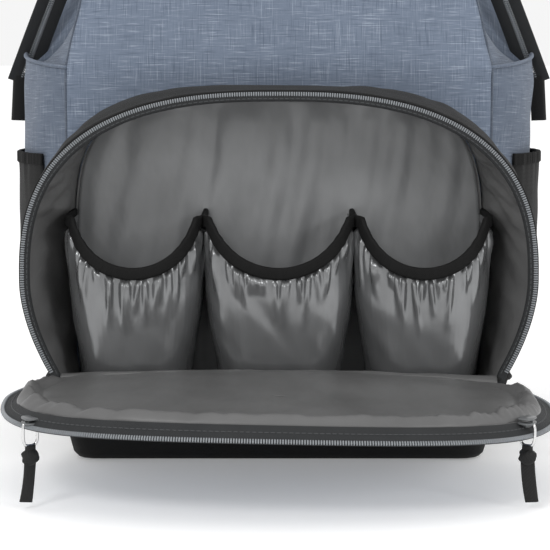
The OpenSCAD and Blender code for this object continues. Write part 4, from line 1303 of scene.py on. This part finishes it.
def slider_shape(name, centre, across, along, up_sign, material):
    """Zip slider: two rounded plates on a neck, and a bridge for the pull."""
    up = np.array([0, 0, float(up_sign)])
    flat, tall = squared(np.linspace(0, 2 * math.pi, 40, endpoint=False), 0.7)
    outline = np.column_stack([4.3 * flat * (1 - 0.16 * tall), 6.3 * tall]) * MM
    verts, faces = [], []

    def plate(base, top, edge):
        start = len(verts)
        for level, size in ((base, 1 - edge), (base + 0.25 * MM, 1.0), (top - 0.25 * MM, 1.0), (top, 1 - edge)):
            for x, y in outline:
                verts.append(centre + across * x * size + along * y * size + up * level)
        for layer in range(3):
            for k in range(40):
                n = (k + 1) % 40
                a = start + layer * 40
                faces.append((a + k, a + n, a + 40 + n, a + 40 + k))
        faces.append(tuple(start + k for k in reversed(range(40))))
        faces.append(tuple(start + 120 + k for k in range(40)))

    plate(-2.3 * MM, -1.1 * MM, 0.06)
    plate(0.4 * MM, 1.6 * MM, 0.06)
    slider = new_object(name, verts, faces, material)
    turn = np.linspace(0, math.pi, 16)[:, None]
    arch = centre + up * 1.3 * MM + along * 4.2 * MM * np.cos(turn) + up * 1.9 * MM * np.sin(turn)
    bridge = sweep(name + "_bridge", arch, band(2.6 * MM, 0.9 * MM), across, material)
    post = centre + along * 3.2 * MM + np.array([[-1.2], [0.6]]) * MM * up
    neck = sweep(name + "_neck", post, disc(1.6 * MM), across, material)
    return join([slider, bridge, neck])


def join(objs):
    first = objs[0]
    with bpy.context.temp_override(active_object=first, object=first,
                                   selected_objects=objs, selected_editable_objects=objs):
        bpy.ops.object.join()
    return first


def make_main_slider():
    low, high = corners("main_slider")
    centre = (low + high) / 2 + np.array([0, 0, -0.4 * MM])
    across, along = np.array([0, 1.0, 0]), np.array([1.0, 0, 0])
    slider = slider_shape("main_slider_cast", centre, across, along, 1, NICKEL)
    finish_piece(slider, "main_zip_slider", ["main_slider"])
    low, high = corners("main_pull")
    mid = (low[1] + high[1]) / 2
    z = (low[2] + high[2]) / 2
    start = centre[0]
    turn = np.linspace(0, 2 * math.pi, 40, endpoint=False)
    flat, tall = squared(turn, 0.6)
    loop = xyz(start + 13 * MM + 13.5 * MM * flat, mid + 5.2 * MM * tall, z)
    bail = sweep("main_pull_bail", loop, disc(0.95 * MM), (0, 0, 1), NICKEL, closed=True)
    finish_piece(bail, "main_zip_pull")
    path = xyz(np.linspace(start + 24 * MM, high[0] - 1 * MM, 24), mid, z)
    webbing_on("main_pull_strap", path, band(11 * MM, 2.4 * MM), (0, 1, 0), "main_zip_pull", ["main_pull"])


# ---------------------------------------------------------------- carrying
def make_handle(end):
    low, high = corners("carry_handle_" + end)
    y = (low[1] + high[1]) / 2
    r = 6.4 * MM
    half = high[0] - r
    turn = np.linspace(0, math.pi, 60)
    top = high[2] - r - half
    foot = low[2] + r
    arc = xyz(half * np.cos(turn), y, top + half * np.sin(turn))
    leg = np.linspace(0, 1, 18)[:, None]
    right, left = np.array([half, y, foot]), np.array([-half, y, foot])
    path = np.vstack([mix(right, arc[0], leg[:-1]), arc, mix(arc[-1], left, leg[1:])])
    path = resample(path, 3 * MM)
    grip = path[16:-16]
    body = "handle_" + end
    profile = band(9 * MM, 6.4 * MM, 2.4 * MM)
    webbing_on("handle_webbing_" + end, path, profile, (0, 1, 0), body, ["carry_handle_" + end])
    padding = sweep("handle_grip_" + end, grip, disc(6.3 * MM, 20), (0, 1, 0), BLACK)
    finish_piece(padding, body)
    hinge, lean, sign = MOUTH[end]
    stitch_on("handle_stitches_" + end, grip - np.array([0, sign * 6.3 * MM, 0]), (0, -sign, 0), body)
    tall = np.array([0, sign * math.sin(lean), math.cos(lean)])
    out = np.array([0, -sign * math.cos(lean), math.sin(lean)])
    for side in (-1, 1):
        name = end + "_" + side_name(side)
        head = np.array([side * half, y, foot]) + out * 1.0 * MM
        up_panel = 34 * MM if end == "back" else 104 * MM
        base = np.array([side * half, hinge[1], hinge[2]]) + tall * up_panel + out * 7.6 * MM
        tab = curve3(base, mix(base, head, 0.8) - out * 1.5 * MM, head, np.linspace(0, 1, 30))
        webbing_on("handle_tab_" + name, tab, band(24 * MM, 2.2 * MM), (1, 0, 0), "mouth_" + end)
        near, far = base + tall * 4 * MM + out * 1.3 * MM, base + tall * 22 * MM + out * 1.3 * MM
        wide = np.array([8.5 * MM, 0, 0])
        box = [near - wide, near + wide, far + wide, far - wide, near - wide]
        stitch_on("handle_box_stitch_" + name, box, tuple(out), "mouth_" + end)
        stitch_on("handle_cross_stitch_" + name, [near - wide, far + wide], tuple(out), "mouth_" + end)


def make_strap(side):
    name = side_name(side)
    body = "strap_" + name
    hinge = joint(body + "_swing")
    top = np.array([side * 45 * MM, hinge[1], 322 * MM])
    foot = np.array([side * 126 * MM, hinge[1], 40 * MM])
    length = np.linalg.norm(foot - top)
    way = (foot - top) / length
    across = np.array([way[2], 0, -way[0]])
    if across[0] < 0:
        across = -across

    def line(a, b, off=0.0, count=60):
        s = np.linspace(a, b, count)
        bow = 38 * MM * np.sin(math.pi * s / length) + off
        return top + way * s[:, None] + np.array([0, 1.0, 0]) * bow[:, None]

    start, end = 15 * MM, 186 * MM
    centre = line(start, end, count=90)
    t = np.linspace(0, 1, 90)
    half = (13 + 16 * smoothstep(0, 0.3, t) * smoothstep(1.0, 0.8, t) + 1 * smoothstep(0.8, 1, t)) * MM
    plump = 4.6 * MM * np.minimum(1, 5 * t) ** 0.5 * np.minimum(1, 6 * (1 - t)) ** 0.5
    tangent = tangents(centre)
    normal = np.cross(tangent, across)
    normal *= np.sign(normal[:, 1:2])
    ring_turn = np.linspace(0, 2 * math.pi, 44, endpoint=False)
    flat, tall = squared(ring_turn, 0.55)[0], squared(ring_turn, 0.75)[1]
    rows = []
    for c, h, p, n in zip(centre, half, plump, normal):
        rows.append(c + across * (flat * h)[:, None] + n * (tall * p * (1 - 0.25 * flat ** 6))[:, None])
    rows = [mix(rows[0], rows[0].mean(axis=0), 0.96)] + rows + [mix(rows[-1], rows[-1].mean(axis=0), 0.96)]
    pad = cloth("shoulder_pad_cloth_" + name, rows, MESH_PAD, close=True)
    finish_piece(pad, body, ["shoulder_pad_" + name])
    for edge in (-1, 1):
        rim = centre[2:-2] + across * (edge * (half[2:-2] - 0.3 * MM))[:, None]
        suffix = name + ("_outer" if edge * side > 0 else "_inner")
        binding = sweep("pad_binding_" + suffix, rim, band(2.6 * MM, 4.2 * MM, 1.2 * MM), across, BINDING)
        finish_piece(binding, body)
        out = normal[4:-4] * (plump[4:-4] * 0.93 + 0.2 * MM)[:, None]
        sew = centre[4:-4] + across * (edge * (half[4:-4] - 4.4 * MM))[:, None] + out
        stitch_on("pad_stitches_" + suffix, sew, (0, 1, 0), body)
    rail = line(start + 4 * MM, end - 6 * MM, 5.4 * MM, 50)
    webbing_on("pad_webbing_" + name, rail, band(20 * MM, 1.4 * MM), across, body)
    upper = line(0, start + 6 * MM, count=14)
    lower = line(end - 6 * MM, length, count=70)
    wide = band(25 * MM, 1.8 * MM)
    webbing_on("strap_webbing_lower_" + name, lower, wide, across, body, ["strap_webbing_" + name])
    webbing_on("strap_webbing_upper_" + name, upper, wide, across, body)
    loose = line(end + 30 * MM, end + 84 * MM, 3.4 * MM, 26)
    loose[:, 1] += 8 * MM * np.linspace(0, 1, 26) ** 2
    webbing_on("strap_webbing_tail_" + name, loose, band(24 * MM, 1.6 * MM), across, body)
    make_ladder_lock(name, body, line(end + 6 * MM, end + 32 * MM, count=5), across)


def make_ladder_lock(name, body, centre, across):
    """Moulded frame of two rails and three bars."""
    parts = []
    rail_profile, bar_profile = band(4 * MM, 6.4 * MM, 1.6 * MM), band(4.2 * MM, 2.8 * MM, 1.2 * MM)
    for k, edge in enumerate((-1, 1)):
        rail = resample(centre + across * edge * 15 * MM, 2 * MM)
        parts.append(sweep("lock_rail_%s_%d" % (name, k), rail, rail_profile, across, PLASTIC))
    for k, (point, off) in enumerate(((centre[0], 0), (centre[2], 2.2 * MM), (centre[4], -0.6 * MM))):
        bar = np.array([point - across * 15 * MM, point + across * 15 * MM]) + np.array([0, off, 0])
        parts.append(sweep("lock_bar_%s_%d" % (name, k), resample(bar, 3 * MM), bar_profile, (0, 0, 1), PLASTIC))
    finish_piece(join(parts), body, ["ladder_lock_" + name])


def make_anchors():
    for side in (-1, 1):
        name = side_name(side)
        for kind, x, z, w, h in (("upper", 45, 323, 42, 18), ("lower", 124, 40, 34, 20)):
            rows = []
            for v in np.linspace(-1, 1, 12):
                u = np.linspace(-1, 1, 14)
                lift = 1.6 * MM * (1 - np.abs(u) ** 6) * (1 - abs(v) ** 6)
                rows.append(xyz(side * x * MM + u * w / 2 * MM, Y_BACK + 1.0 * MM + lift, (z + v * h / 2) * MM))
            patch = cloth("strap_anchor_%s_%s" % (kind, name), rows, WEBBING, 1.0 * MM)
            finish_piece(patch, "bag", ["strap_anchors"])
            round_x = side * x + np.array([-1, 1, 1, -1, -1]) * (w / 2 - 3)
            round_z = z + np.array([-1, -1, 1, 1, -1]) * (h / 2 - 3)
            points = xyz(round_x * MM, Y_BACK + 3.0 * MM, round_z * MM)
            stitch_on("anchor_stitches_%s_%s" % (kind, name), points, (0, 1, 0), "bag")
    low, high = corners("hang_loop")
    x = np.linspace(-1, 1, 40)
    out = (high[1] - low[1] - 2 * MM) * (1 - np.abs(x) ** 3.5)
    path = xyz(x * 15 * MM, low[1] + 1 * MM + out, (low[2] + high[2]) / 2)
    webbing_on("hang_loop_webbing", path, band(20 * MM, 1.8 * MM), (0, 0, 1), "bag", ["hang_loop"])


make_compartment()
make_back_lining()
for pocket_name, pocket_seed in (("left", 3), ("middle", 7), ("right", 13)):
    make_pocket(pocket_name, pocket_seed)
make_base()
make_front_cover()
make_back_cover()
for way_out in (-1, 1):
    make_side(way_out)
    for mouth_end in ("front", "back"):
        make_gusset(way_out, mouth_end)
    make_zip_tail(way_out)
    make_flap_pull(way_out)
    make_strap(way_out)
make_mouth_zip()
make_flap()
make_main_slider()
for mouth_end in ("front", "back"):
    make_handle(mouth_end)
make_anchors()
for mouth_end in ("front", "back"):
    dress(mouth_end + "_frame_wire", STEEL)
